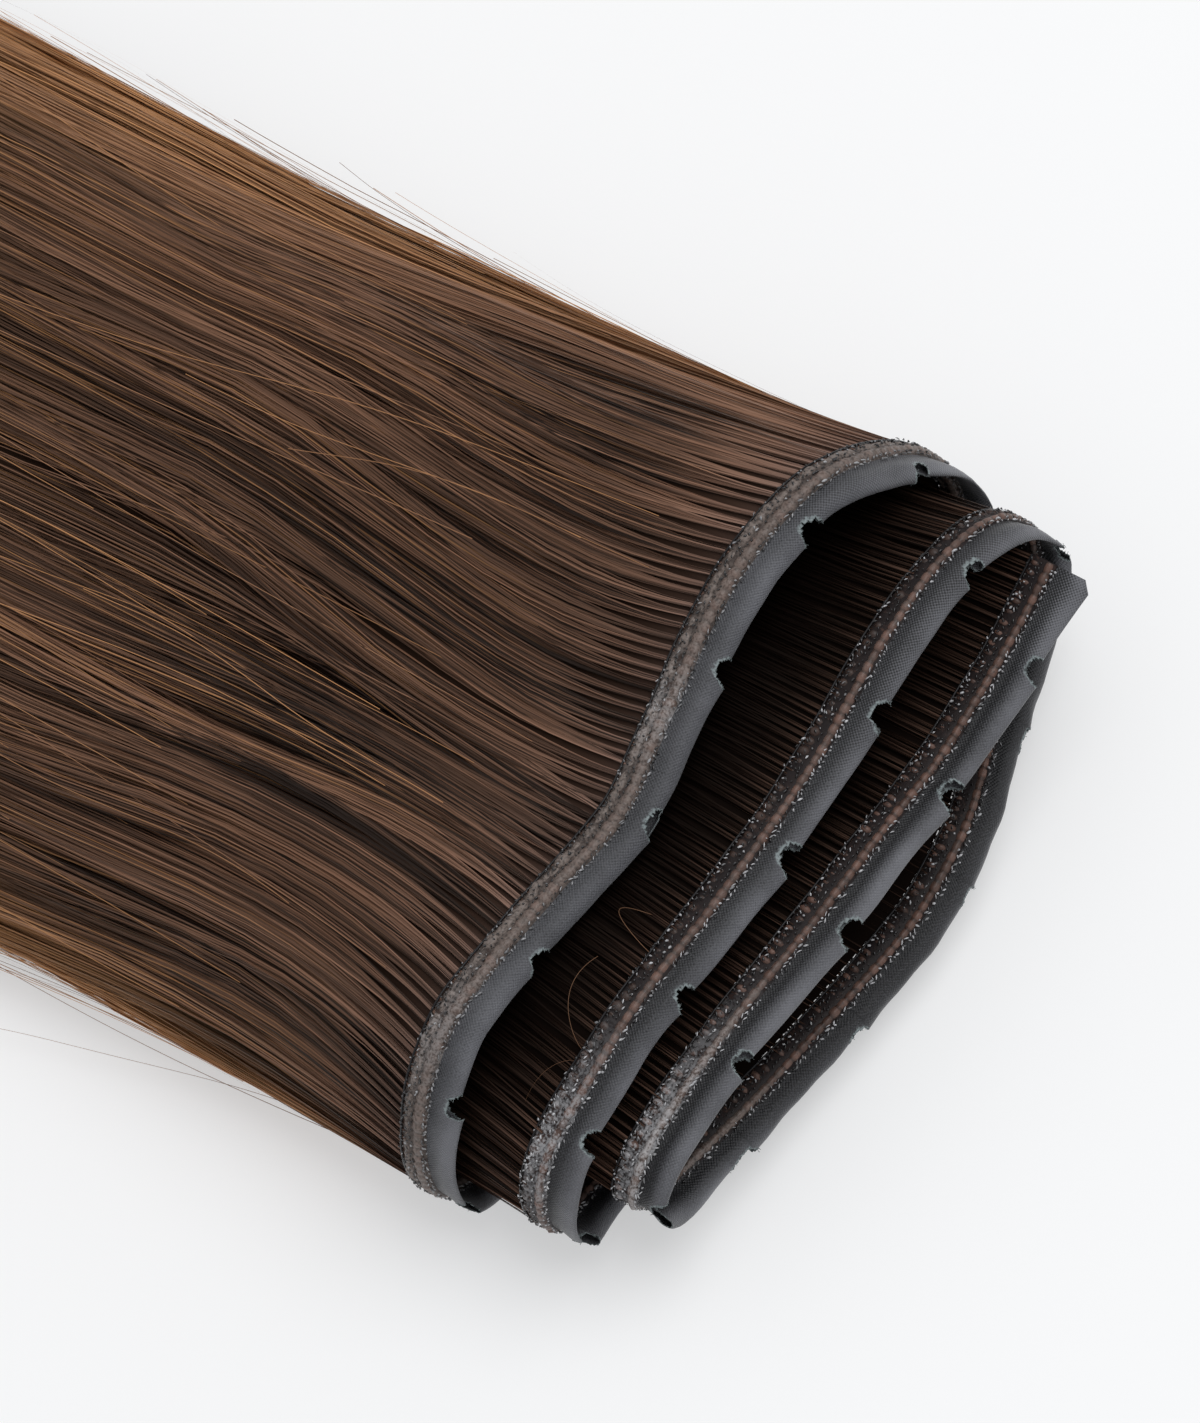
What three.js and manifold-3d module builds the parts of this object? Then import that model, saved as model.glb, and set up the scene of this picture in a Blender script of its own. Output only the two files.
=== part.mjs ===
// Butterfly weft hair extension, rolled into a flattened spiral and lying on a table.
import * as THREE from 'three';
import { mergeVertices } from 'three/addons/utils/BufferGeometryUtils.js';
import Module from 'manifold-3d';

const wasm = await Module();
wasm.setup();

// Driving sizes in millimetres; the seam between the band and the net tape is the strip's centre line
const GAP = 0.3;
const FIN_WIDTH = 3.1;
const FIN_HALF_BULGE = 0.85;
const FIN_PLY = 0.42;
const FIN_ROOT_HALF = 0.56;
const FIN_ROOT_TUNNEL = 0.14;
const BAND_WIDTH = 3.2;
const BAND_HALF_THICK = 0.85;
const BAND_EDGE_HALF = 0.4;
const BAND_VALLEY_HALF = 0.5;
const NOTCH_LENGTH = 3.2;
const NOTCH_DEPTH = 1.7;
const NOTCH_CLEAR = 0.7;
const LONGEST_STEP = 10;
const SHORTEST_STEP = 0.8;
const SHARPEST_TURN = 0.38;
const CURTAIN_PARTS = [0, 0.07, 0.25, 0.6, 1];
const CURTAIN_HALVES = [0.75, 0.95, 0.95, 0.95, 0.4];
const CURTAIN_END_Y = 74;
const CORE_START_Y = 48;
const CORE_END_Y = 316;
const CORE_CENTRE_X = -11;
const CORE_CENTRE_Z = 10.8;
const CORE_POWER = 2.6;
const CORE_HALF_WIDTH = 47.5;
const CORE_HALF_HEIGHT = 15;
const CORE_SIDES = 28;
const CORE_RINGS = 13;
const HAIR_LENGTH = 400;
const LOCK_SIDES = 8;
const LOCK_RINGS = 11;
const LOCK_INSET = 1.6;
const LOCK_WAVE_LENGTH = 26;
const TIP_DROP = 1.5;

// The strip's centre line from the inner free end out to the outer end, one row per bend or span.
// Columns: x, y, z in mm, droop of the band and droop of the net tape in degrees.
const STRIP_ROWS = [
  [28.0, -25.6, 21.7, 3, 33],
  [23.0, -25.4, 19.8, 3, 29],
  [14.0, -25.4, 18.2, 3, 27],
  [4.0, -25.2, 17.9, 3, 27],
  [-8.0, -24.7, 19.6, 3, 29],
  [-20.0, -23.8, 20.2, 3, 29],
  [-32.0, -22.4, 20.5, 3, 27],
  [-42.0, -21.7, 20.0, 3, 25],
  [-48.5, -21.5, 18.6, 3, 12],
  [-51.6, -21.5, 14.8, 3, 10],
  [-48.5, -22.0, 11.0, 8, 50],
  [-42.0, -23.1, 9.2, 14, 78],
  [-32.0, -24.9, 8.0, 16, 84],
  [-20.0, -27.0, 7.4, 16, 86],
  [-8.0, -28.6, 7.2, 16, 86],
  [2.0, -28.1, 8.0, 16, 86],
  [10.0, -26.1, 8.2, 14, 84],
  [18.0, -23.7, 7.8, 10, 76],
  [26.0, -21.3, 8.2, 6, 50],
  [31.9, -20.2, 14.0, 3, 25],
  [30.9, -19.3, 20.8, -8, 28],
  [27.2, -18.4, 25.6, -14, 44],
  [20.5, -17.4, 27.9, -14, 54],
  [10.4, -16.8, 27.8, -8, 50],
  [0.0, -16.7, 25.9, 3, 50],
  [-12.0, -16.4, 25.2, 3, 53],
  [-24.0, -15.8, 25.8, 3, 58],
  [-36.0, -15.0, 26.7, 3, 64],
  [-46.0, -14.5, 25.3, 3, 60],
  [-53.4, -14.1, 22.6, 3, 42],
  [-57.0, -13.9, 16.5, 3, 12],
  [-56.4, -13.5, 8.8, 3, 8],
  [-51.5, -12.7, 4.6, 2, 6],
  [-42.0, -13.7, 3.9, 2, 6],
  [-28.0, -14.5, 3.8, 2, 6],
  [-8.0, -14.1, 3.8, 2, 6],
  [12.0, -12.3, 3.8, 2, 6],
  [24.0, -10.7, 4.1, 2, 6],
  [31.0, -9.3, 5.0, 2, 8],
  [35.0, -7.9, 10.0, 2, 10],
  [34.8, -7.1, 16.0, 2, 12],
  [32.4, -6.1, 22.4, 2, 44],
  [27.2, -5.0, 29.2, 2, 64],
  [20.8, -3.7, 34.0, 2, 70],
  [12.6, -1.9, 34.2, 2, 66],
  [3.0, -1.0, 32.2, 2, 62],
  [-8.0, -2.0, 30.6, 2, 61],
  [-20.0, -3.4, 29.8, 2, 64],
  [-31.0, -2.0, 30.4, 2, 71],
  [-41.0, -1.0, 31.3, 2, 75],
  [-48.0, -0.7, 31.2, 2, 70],
  [-54.9, -0.5, 25.8, 2, 52],
  [-59.1, -0.4, 16.4, 2, 23],
  [-58.9, -0.3, 8.0, 2, 8],
  [-54.4, -0.1, 2.6, 1, 4],
  [-46.0, 0.3, 1.7, 0, 2],
  [-30.0, 1.1, 1.6, 0, 2],
  [-10.0, 2.1, 1.6, 0, 2],
  [10.0, 3.1, 1.6, 0, 2],
  [30.0, 4.1, 1.7, 0, 2],
];

const centreLine = new THREE.CatmullRomCurve3(
  STRIP_ROWS.map(([x, y, z]) => new THREE.Vector3(x, y, z)),
  false,
  'centripetal',
);

function droopAt(u, column) {
  const place = u * (STRIP_ROWS.length - 1);
  const row = Math.min(Math.floor(place), STRIP_ROWS.length - 2);
  const part = place - row;
  return THREE.MathUtils.lerp(STRIP_ROWS[row][column], STRIP_ROWS[row + 1][column], part);
}

// Cross frame at one place of the strip: along is the run of the strip, level and face its undrooped axes
function frameAt(u) {
  const at = centreLine.getPoint(u);
  const along = centreLine.getTangent(u).normalize();
  const level = new THREE.Vector3(0, -1, 0);
  level.addScaledVector(along, -level.dot(along)).normalize();
  const face = new THREE.Vector3().crossVectors(along, level);
  return { at, along, level, face };
}

// Axes turned down by a droop; round the folds the droop fades out
function drooped({ level, face }, degrees) {
  const angle = THREE.MathUtils.degToRad(degrees) * face.z;
  const out = level.clone().multiplyScalar(Math.cos(angle)).addScaledVector(face, -Math.sin(angle));
  const normal = face.clone().multiplyScalar(Math.cos(angle)).addScaledVector(level, Math.sin(angle));
  return { out, normal };
}

const BAND_DROOP = 3;
const FIN_DROOP = 4;

// A place on the band: out from the seam and off the strip's face
function bandPoint(u, out, off) {
  const frame = frameAt(u);
  const axes = drooped(frame, droopAt(u, BAND_DROOP));
  return frame.at.clone().addScaledVector(axes.out, out).addScaledVector(axes.normal, off);
}

// A place on the net tape, which leaves the seam level with the band and bends over to its own droop
const BEND_STEPS = 8;
function finPoint(u, out, off) {
  const frame = frameAt(u);
  const start = droopAt(u, BAND_DROOP);
  const end = droopAt(u, FIN_DROOP);
  const bent = (reach) => THREE.MathUtils.smoothstep(reach, 0, FIN_WIDTH * 0.6);
  const bend = (reach) => THREE.MathUtils.lerp(start, end, bent(reach));
  const point = frame.at.clone();
  for (let k = 0; k < BEND_STEPS; k += 1) {
    const reach = (out * (k + 0.5)) / BEND_STEPS;
    point.addScaledVector(drooped(frame, bend(reach)).out, out / BEND_STEPS);
  }
  return point.addScaledVector(drooped(frame, bend(out)).normal, off);
}

// Fine walk along the strip, used for arc length and for choosing stations
const WALK_STEPS = 2400;
const walk = [];
{
  let travelled = 0;
  let previous = null;
  for (let i = 0; i <= WALK_STEPS; i += 1) {
    const u = i / WALK_STEPS;
    const at = centreLine.getPoint(u);
    if (previous) travelled += at.distanceTo(previous);
    walk.push({ u, travelled, along: centreLine.getTangent(u).normalize() });
    previous = at;
  }
}
const STRIP_LENGTH = walk[WALK_STEPS].travelled;

function paramAtLength(length) {
  const found = walk.find((step) => step.travelled >= length);
  return found ? found.u : 1;
}

// Where the notches sit along the strip, cut by hand in one run per span.
// Columns: distance of the run's first notch from the inner end, how many, spacing.
const NOTCH_RUNS = [
  [10.9, 1, 18.3],
  [27.1, 4, 18.3],
  [96.5, 4, 18.2],
  [174.2, 7, 18.1],
  [300.0, 5, 18.9],
  [396.7, 5, 17.9],
  [488.0, 2, 18.0],
  [524.0, 4, 18.4],
];
const notchLengths = NOTCH_RUNS.flatMap(([first, count, spacing]) => (
  Array.from({ length: count }, (_, k) => first + k * spacing)
));

// A station is kept off the sides of a notch, so that no thin sliver is left beside the cut
function clearOfNotch(length) {
  const keep = NOTCH_LENGTH / 2 + NOTCH_CLEAR;
  for (const notch of notchLengths) {
    const away = length - notch;
    if (Math.abs(away) < keep) return notch + (away < 0 ? -keep : keep);
  }
  return length;
}

// Stations close together round the folds and further apart along the spans
function chooseStations() {
  const lengths = [0];
  let last = walk[0];
  for (const step of walk) {
    const turned = last.along.angleTo(step.along);
    if (step.travelled - last.travelled >= LONGEST_STEP || turned >= SHARPEST_TURN) {
      const place = clearOfNotch(step.travelled);
      const room = Math.min(place - lengths[lengths.length - 1], STRIP_LENGTH - place);
      if (room > SHORTEST_STEP) lengths.push(place);
      last = step;
    }
  }
  return [...lengths.map(paramAtLength), 1];
}

function solidFrom(positions, triangles) {
  const geometry = new THREE.BufferGeometry();
  geometry.setAttribute('position', new THREE.Float32BufferAttribute(positions, 3));
  geometry.setIndex(triangles);
  const merged = mergeVertices(geometry, 1e-5);
  const mesh = new wasm.Mesh({
    numProp: 3,
    vertProperties: Float32Array.from(merged.attributes.position.array),
    triVerts: Uint32Array.from(merged.index.array),
  });
  mesh.merge();
  return new wasm.Manifold(mesh);
}

// Skin a list of rings, each an array of points, with flat ends; ring order and winding face outward
function skinRings(rings, capTriangles) {
  const sides = rings[0].length;
  const positions = rings.flat().flatMap((p) => [p.x, p.y, p.z]);
  const triangles = [];
  for (let i = 0; i < rings.length - 1; i += 1) {
    for (let j = 0; j < sides; j += 1) {
      const next = (j + 1) % sides;
      const a = i * sides + j;
      const b = i * sides + next;
      const c = (i + 1) * sides + next;
      const d = (i + 1) * sides + j;
      triangles.push(a, b, c, a, c, d);
    }
  }
  const lastRing = (rings.length - 1) * sides;
  for (const [a, b, c] of capTriangles) {
    triangles.push(a, c, b);
    triangles.push(lastRing + a, lastRing + b, lastRing + c);
  }
  return solidFrom(positions, triangles);
}

function sweepProfile(profile, stations, pointAt) {
  const rings = stations.map((u) => profile.map(([out, off]) => pointAt(u, out, off)));
  const flat = profile.map(([w, n]) => new THREE.Vector2(w, n));
  return skinRings(rings, THREE.ShapeUtils.triangulateShape(flat, []));
}

// Net tape: two plies meeting in a soft fold at the free edge with a tunnel between them
const halfGap = GAP / 2;
const tunnel = FIN_HALF_BULGE - FIN_PLY;
const finProfile = [
  [halfGap, -FIN_ROOT_HALF],
  [FIN_WIDTH * 0.5, -FIN_HALF_BULGE],
  [FIN_WIDTH * 0.92, -FIN_HALF_BULGE * 0.66],
  [FIN_WIDTH, 0],
  [FIN_WIDTH * 0.92, FIN_HALF_BULGE * 0.66],
  [FIN_WIDTH * 0.5, FIN_HALF_BULGE],
  [halfGap, FIN_ROOT_HALF],
  [halfGap, FIN_ROOT_TUNNEL],
  [FIN_WIDTH * 0.62, tunnel],
  [FIN_WIDTH * 0.62, -tunnel],
  [halfGap, -FIN_ROOT_TUNNEL],
];
const stripStations = chooseStations();
let fin = sweepProfile(finProfile, stripStations, finPoint);

// Notch cutter: a slot through both plies at the free edge, narrower at its floor
const CUT_OVER = 1;
const CUT_HALF = 2 * FIN_HALF_BULGE;
function notchCutter(u) {
  const { along } = frameAt(u);
  const half = NOTCH_LENGTH / 2;
  const floor = FIN_WIDTH - NOTCH_DEPTH;
  const outline = [
    [half, FIN_WIDTH + CUT_OVER],
    [-half, FIN_WIDTH + CUT_OVER],
    [-half * 0.7, floor],
    [half * 0.7, floor],
  ];
  const flat = outline.map(([t, w]) => new THREE.Vector2(t, w));
  const corner = ([t, out], off) => finPoint(u, out, off).addScaledVector(along, t);
  const rings = [CUT_HALF, -CUT_HALF].map((off) => outline.map((place) => corner(place, off)));
  return skinRings(rings, THREE.ShapeUtils.triangulateShape(flat, []));
}

for (const length of notchLengths) fin = fin.subtract(notchCutter(paramAtLength(length)));

// Only the main body is kept: no crumbs off the notches, and no pocket sealed inside
const largest = (solid) => solid.decompose().sort((a, b) => b.volume() - a.volume())[0];
fin = largest(fin);

// Stitched band: two ridged rows, the cord row beside the tape and the lumpy row beside the hair
const bandInner = -halfGap;
const bandOuter = -halfGap - BAND_WIDTH;
const lumpRow = bandOuter + BAND_WIDTH * 0.25;
const valley = bandOuter + BAND_WIDTH * 0.53;
const cordRow = bandInner - BAND_WIDTH * 0.23;
const bandFace = [
  [bandInner, BAND_EDGE_HALF],
  [cordRow, BAND_HALF_THICK],
  [valley, BAND_VALLEY_HALF],
  [lumpRow, BAND_HALF_THICK * 0.9],
  [bandOuter, BAND_EDGE_HALF],
];
const bandProfile = [...bandFace.map(([out, off]) => [out, -off]).reverse(), ...bandFace];
const band = sweepProfile(bandProfile, stripStations, bandPoint);

// Hair leaves the band as one thin curtain and eases into the shared bundle
function sideways(x, z) {
  const pull = x < 3 ? (3 - x) * 0.004 : (3 - x) * 0.0034;
  return pull * THREE.MathUtils.lerp(-0.35, 1, Math.min(z / 25, 1));
}

function bundleHeight(z) {
  return 0.8 + 25 * Math.pow(Math.max(z, 0) / 32, 0.82);
}

function curtainCentre(u, part) {
  const { out, normal } = drooped(frameAt(u), droopAt(u, BAND_DROOP));
  const root = bandPoint(u, bandOuter - GAP, 0);
  const run = (CURTAIN_END_Y - root.y) * part;
  const reach = CURTAIN_END_Y - root.y;
  const rise = -out.z * 12;
  const ease = THREE.MathUtils.smoothstep(run, 0, reach);
  const x = root.x + sideways(root.x, root.z) * 40 * (1 - Math.exp(-run / 40));
  const z = root.z + rise * (1 - Math.exp(-run / 12)) + (bundleHeight(root.z) - root.z - rise) * ease;
  return { point: new THREE.Vector3(x, root.y + run, z), normal };
}

const curtainRings = stripStations.map((u) => {
  const upper = [];
  const lower = [];
  CURTAIN_PARTS.forEach((part, row) => {
    const { point, normal } = curtainCentre(u, part);
    const half = CURTAIN_HALVES[row];
    upper.push(point.clone().addScaledVector(normal, half));
    lower.push(point.clone().addScaledVector(normal, -half));
  });
  return [...upper, ...lower.reverse()];
});
const rowCount = CURTAIN_PARTS.length;
const curtainCaps = [];
for (let row = 0; row < rowCount - 1; row += 1) {
  const low = 2 * rowCount - 1 - row;
  curtainCaps.push([row, row + 1, low], [row + 1, low - 1, low]);
}
const curtain = skinRings(curtainRings, curtainCaps);

// The bundle: a broad soft bar of hair, thinner toward the tips
function coreHalfWidth(y) {
  const widen = CORE_HALF_WIDTH + 2.5 * THREE.MathUtils.smoothstep(y, 40, 130);
  return widen - 12 * THREE.MathUtils.smoothstep(y, 190, 350);
}

function coreHalfHeight(y) {
  const settle = 2 * THREE.MathUtils.smoothstep(y, 60, 160);
  return CORE_HALF_HEIGHT - settle - 7 * THREE.MathUtils.smoothstep(y, 180, 350);
}

function coreMiddle(y) {
  return CORE_CENTRE_Z - 6 * THREE.MathUtils.smoothstep(y, 140, 340);
}

function coreDrift(y) {
  return CORE_CENTRE_X + 5 * THREE.MathUtils.smoothstep(y, 60, 340);
}

function corePoint(y, angle, inset) {
  const c = Math.cos(angle);
  const s = Math.sin(angle);
  const across = Math.sign(c) * Math.pow(Math.abs(c), 2 / CORE_POWER);
  const height = Math.sign(s) * Math.pow(Math.abs(s), 2 / CORE_POWER);
  return new THREE.Vector3(
    coreDrift(y) + (coreHalfWidth(y) - inset) * across,
    y,
    coreMiddle(y) + (coreHalfHeight(y) - inset) * height,
  );
}

const coreRings = [];
for (let i = 0; i < CORE_RINGS; i += 1) {
  const y = THREE.MathUtils.lerp(CORE_START_Y, CORE_END_Y, i / (CORE_RINGS - 1));
  const ring = [];
  for (let j = 0; j < CORE_SIDES; j += 1) ring.push(corePoint(y, (-2 * Math.PI * j) / CORE_SIDES, 0));
  coreRings.push(ring);
}
const fan = (sides) => Array.from({ length: sides - 2 }, (_, k) => [0, k + 1, k + 2]);
let hair = curtain.add(skinRings(coreRings, fan(CORE_SIDES)));

// Locks: long flattened strands of the bundle with their own waves and tips
const spread = (index, salt) => {
  const raw = Math.sin(index * 12.9898 + salt * 78.233) * 43758.5453;
  return raw - Math.floor(raw);
};

function lock({ angle, halfWidth, halfThick, startY, endY, wave, phase, droop }) {
  const rings = [];
  for (let i = 0; i < LOCK_RINGS; i += 1) {
    const part = i / (LOCK_RINGS - 1);
    const y = THREE.MathUtils.lerp(startY, endY, part);
    const swing = wave * Math.sin(y / LOCK_WAVE_LENGTH + phase);
    const turn = angle + swing / coreHalfWidth(y);
    const centre = corePoint(y, turn, LOCK_INSET);
    const side = corePoint(y, turn - 0.08, LOCK_INSET).sub(centre).setY(0).normalize();
    const face = new THREE.Vector3(-side.z, 0, side.x);
    const grow = THREE.MathUtils.smoothstep(part, -0.04, 0.16);
    const taper = 1 - 0.78 * THREE.MathUtils.smoothstep(part, 0.7, 1.0);
    const drop = TIP_DROP * THREE.MathUtils.smoothstep(part, 0.75, 1) * droop;
    const ring = [];
    for (let j = 0; j < LOCK_SIDES; j += 1) {
      const a = (-2 * Math.PI * j) / LOCK_SIDES;
      ring.push(centre.clone()
        .addScaledVector(side, halfWidth * grow * taper * Math.cos(a))
        .addScaledVector(face, halfThick * grow * (0.35 + 0.65 * taper) * Math.sin(a))
        .setY(y)
        .add(new THREE.Vector3(0, 0, -drop)));
    }
    rings.push(ring);
  }
  return skinRings(rings, fan(LOCK_SIDES));
}

// Locks over the top and under the bundle, spread over part of its round.
// Each pair of sizes holds the smallest and how far above it a lock may lie.
const LOCK_GROUPS = [
  {
    count: 9, first: 0.02, round: 0.96, salt: 0, order: 0,
    halfWidth: [6.6, 2.2], halfThick: [2.9, 0.8], startY: [54, 22], tipBack: [42, -26], wave: [1.6, 1.6],
  },
  {
    count: 7, first: 1.1, round: 0.8, salt: 10, order: 9,
    halfWidth: [7.4, 2.0], halfThick: [4.4, 0.8], startY: [150, 30], tipBack: [48, -26], wave: [1.4, 1.2],
  },
];
for (const group of LOCK_GROUPS) {
  for (let i = 0; i < group.count; i += 1) {
    const draw = ([least, more], salt) => least + more * spread(i, group.salt + salt);
    hair = hair.add(lock({
      angle: Math.PI * (group.first + (group.round * (i + 0.5)) / group.count),
      halfWidth: draw(group.halfWidth, 1),
      halfThick: draw(group.halfThick, 2),
      startY: draw(group.startY, 3),
      endY: HAIR_LENGTH - draw(group.tipBack, 4),
      wave: draw(group.wave, 6),
      phase: draw([0, 2 * Math.PI], 7),
      droop: spread(i + group.order, 5),
    }));
  }
}

// The underside lies flat on the table
const BELOW_TABLE = 100;
const under = new THREE.BoxGeometry(400, 1200, BELOW_TABLE).translate(0, 0, -BELOW_TABLE / 2);
under.deleteAttribute('normal');
under.deleteAttribute('uv');
const underMerged = mergeVertices(under, 1e-5);
hair = hair.subtract(solidFrom(underMerged.attributes.position.array, Array.from(underMerged.index.array)));
hair = largest(hair);

// The shared frame: origin under the middle of the whole piece, on the table
const boxes = [fin, band, hair].map((solid) => solid.boundingBox());
const middleOf = (axis) => {
  const low = Math.min(...boxes.map((box) => box.min[axis]));
  const high = Math.max(...boxes.map((box) => box.max[axis]));
  return (low + high) / 2;
};
const shift = [-middleOf(0), -middleOf(1), 0];

// Slivers left by the joins are closed up; a triangle that has shrunk to a line is dropped
function toMesh(name, solid, tolerance, colour, roughness) {
  const out = solid.translate(shift).simplify(tolerance).getMesh();
  const raw = new THREE.BufferGeometry();
  raw.setAttribute('position', new THREE.Float32BufferAttribute(out.vertProperties, 3));
  raw.setIndex(Array.from(out.triVerts));
  const geometry = mergeVertices(raw, 1e-3);
  const corners = Array.from(geometry.index.array);
  const kept = [];
  for (let i = 0; i < corners.length; i += 3) {
    const [a, b, c] = corners.slice(i, i + 3);
    if (a !== b && b !== c && c !== a) kept.push(a, b, c);
  }
  geometry.setIndex(kept);
  geometry.computeVertexNormals();
  const material = new THREE.MeshStandardMaterial({ color: colour, roughness });
  material.name = name;
  const mesh = new THREE.Mesh(geometry, material);
  mesh.name = name;
  return mesh;
}

const weft = new THREE.Group();
weft.name = 'butterfly_weft';
weft.add(toMesh('fin_tape', fin, 0.002, 0x57565a, 0.8));
weft.add(toMesh('stitched_band', band, 0.002, 0x4d3a32, 0.75));
weft.add(toMesh('hair', hair, 0.1, 0x3b2a22, 0.5));

export default weft;
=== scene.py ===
# Butterfly weft hair extension: folded net tape, stitched band and rolled hair on a pale table.
import math

import bpy
import numpy as np
from bpy.props import FloatProperty, FloatVectorProperty, IntProperty, PointerProperty
from mathutils import Matrix, Vector


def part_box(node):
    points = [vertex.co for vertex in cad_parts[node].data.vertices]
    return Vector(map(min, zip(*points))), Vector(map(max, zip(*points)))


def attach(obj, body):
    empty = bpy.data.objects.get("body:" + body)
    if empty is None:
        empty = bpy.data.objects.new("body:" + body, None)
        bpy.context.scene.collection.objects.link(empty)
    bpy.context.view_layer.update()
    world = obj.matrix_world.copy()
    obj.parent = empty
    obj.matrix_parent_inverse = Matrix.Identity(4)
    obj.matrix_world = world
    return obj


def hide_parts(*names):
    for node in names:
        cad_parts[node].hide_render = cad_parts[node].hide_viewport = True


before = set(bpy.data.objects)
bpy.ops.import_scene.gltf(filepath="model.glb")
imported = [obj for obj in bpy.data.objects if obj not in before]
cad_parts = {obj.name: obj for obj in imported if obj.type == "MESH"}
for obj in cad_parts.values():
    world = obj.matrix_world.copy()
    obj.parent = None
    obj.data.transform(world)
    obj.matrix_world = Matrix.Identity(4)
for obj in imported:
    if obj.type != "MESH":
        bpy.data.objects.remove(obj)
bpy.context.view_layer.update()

bl_info = {
    "name": "Butterfly Weft",
    "version": (1, 0, 0),
    "blender": (4, 5, 0),
    "location": "View3D > Sidebar > Weft",
    "description": "Builds a rolled butterfly weft with net tape, stitched band and hair strands",
    "category": "Object",
}

MM = 0.001
BODY = "root"

# The strip's centre line from the inner free end out to the outer end, as in the part's source.
# Columns: x, y, z in mm, droop of the band and droop of the net tape in degrees.
STRIP_ROWS = (
    (28.0, -25.6, 21.7, 3, 33),
    (23.0, -25.4, 19.8, 3, 29),
    (14.0, -25.4, 18.2, 3, 27),
    (4.0, -25.2, 17.9, 3, 27),
    (-8.0, -24.7, 19.6, 3, 29),
    (-20.0, -23.8, 20.2, 3, 29),
    (-32.0, -22.4, 20.5, 3, 27),
    (-42.0, -21.7, 20.0, 3, 25),
    (-48.5, -21.5, 18.6, 3, 12),
    (-51.6, -21.5, 14.8, 3, 10),
    (-48.5, -22.0, 11.0, 8, 50),
    (-42.0, -23.1, 9.2, 14, 78),
    (-32.0, -24.9, 8.0, 16, 84),
    (-20.0, -27.0, 7.4, 16, 86),
    (-8.0, -28.6, 7.2, 16, 86),
    (2.0, -28.1, 8.0, 16, 86),
    (10.0, -26.1, 8.2, 14, 84),
    (18.0, -23.7, 7.8, 10, 76),
    (26.0, -21.3, 8.2, 6, 50),
    (31.9, -20.2, 14.0, 3, 25),
    (30.9, -19.3, 20.8, -8, 28),
    (27.2, -18.4, 25.6, -14, 44),
    (20.5, -17.4, 27.9, -14, 54),
    (10.4, -16.8, 27.8, -8, 50),
    (0.0, -16.7, 25.9, 3, 50),
    (-12.0, -16.4, 25.2, 3, 53),
    (-24.0, -15.8, 25.8, 3, 58),
    (-36.0, -15.0, 26.7, 3, 64),
    (-46.0, -14.5, 25.3, 3, 60),
    (-53.4, -14.1, 22.6, 3, 42),
    (-57.0, -13.9, 16.5, 3, 12),
    (-56.4, -13.5, 8.8, 3, 8),
    (-51.5, -12.7, 4.6, 2, 6),
    (-42.0, -13.7, 3.9, 2, 6),
    (-28.0, -14.5, 3.8, 2, 6),
    (-8.0, -14.1, 3.8, 2, 6),
    (12.0, -12.3, 3.8, 2, 6),
    (24.0, -10.7, 4.1, 2, 6),
    (31.0, -9.3, 5.0, 2, 8),
    (35.0, -7.9, 10.0, 2, 10),
    (34.8, -7.1, 16.0, 2, 12),
    (32.4, -6.1, 22.4, 2, 44),
    (27.2, -5.0, 29.2, 2, 64),
    (20.8, -3.7, 34.0, 2, 70),
    (12.6, -1.9, 34.2, 2, 66),
    (3.0, -1.0, 32.2, 2, 62),
    (-8.0, -2.0, 30.6, 2, 61),
    (-20.0, -3.4, 29.8, 2, 64),
    (-31.0, -2.0, 30.4, 2, 71),
    (-41.0, -1.0, 31.3, 2, 75),
    (-48.0, -0.7, 31.2, 2, 70),
    (-54.9, -0.5, 25.8, 2, 52),
    (-59.1, -0.4, 16.4, 2, 23),
    (-58.9, -0.3, 8.0, 2, 8),
    (-54.4, -0.1, 2.6, 1, 4),
    (-46.0, 0.3, 1.7, 0, 2),
    (-30.0, 1.1, 1.6, 0, 2),
    (-10.0, 2.1, 1.6, 0, 2),
    (10.0, 3.1, 1.6, 0, 2),
    (30.0, 4.1, 1.7, 0, 2),
)

# Notches in the tape's free edge. Columns: first notch from the inner end in mm, how many, spacing in mm.
NOTCH_RUNS = (
    (10.9, 1, 18.3),
    (27.1, 4, 18.3),
    (96.5, 4, 18.2),
    (174.2, 7, 18.1),
    (300.0, 5, 18.9),
    (396.7, 5, 17.9),
    (488.0, 2, 18.0),
    (524.0, 4, 18.4),
)

# Stretches of the strip, in mm from the inner end
OUTER_FROM = 352.0
UNDER_FROM = 516.0

# Edges of the band beside the tape and beside the hair, in mm out from the seam
BAND_EDGE = -0.15
ROOT_OUT = -3.35


def smoothstep(value, low, high):
    """Ease from 0 at low to 1 at high, for numbers and arrays."""
    part = np.clip((value - low) / (high - low), 0.0, 1.0)
    return part * part * (3.0 - 2.0 * part)


def unit(vectors):
    """Vectors of length one along the last axis."""
    return vectors / np.maximum(np.linalg.norm(vectors, axis=-1, keepdims=True), 1e-12)


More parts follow.
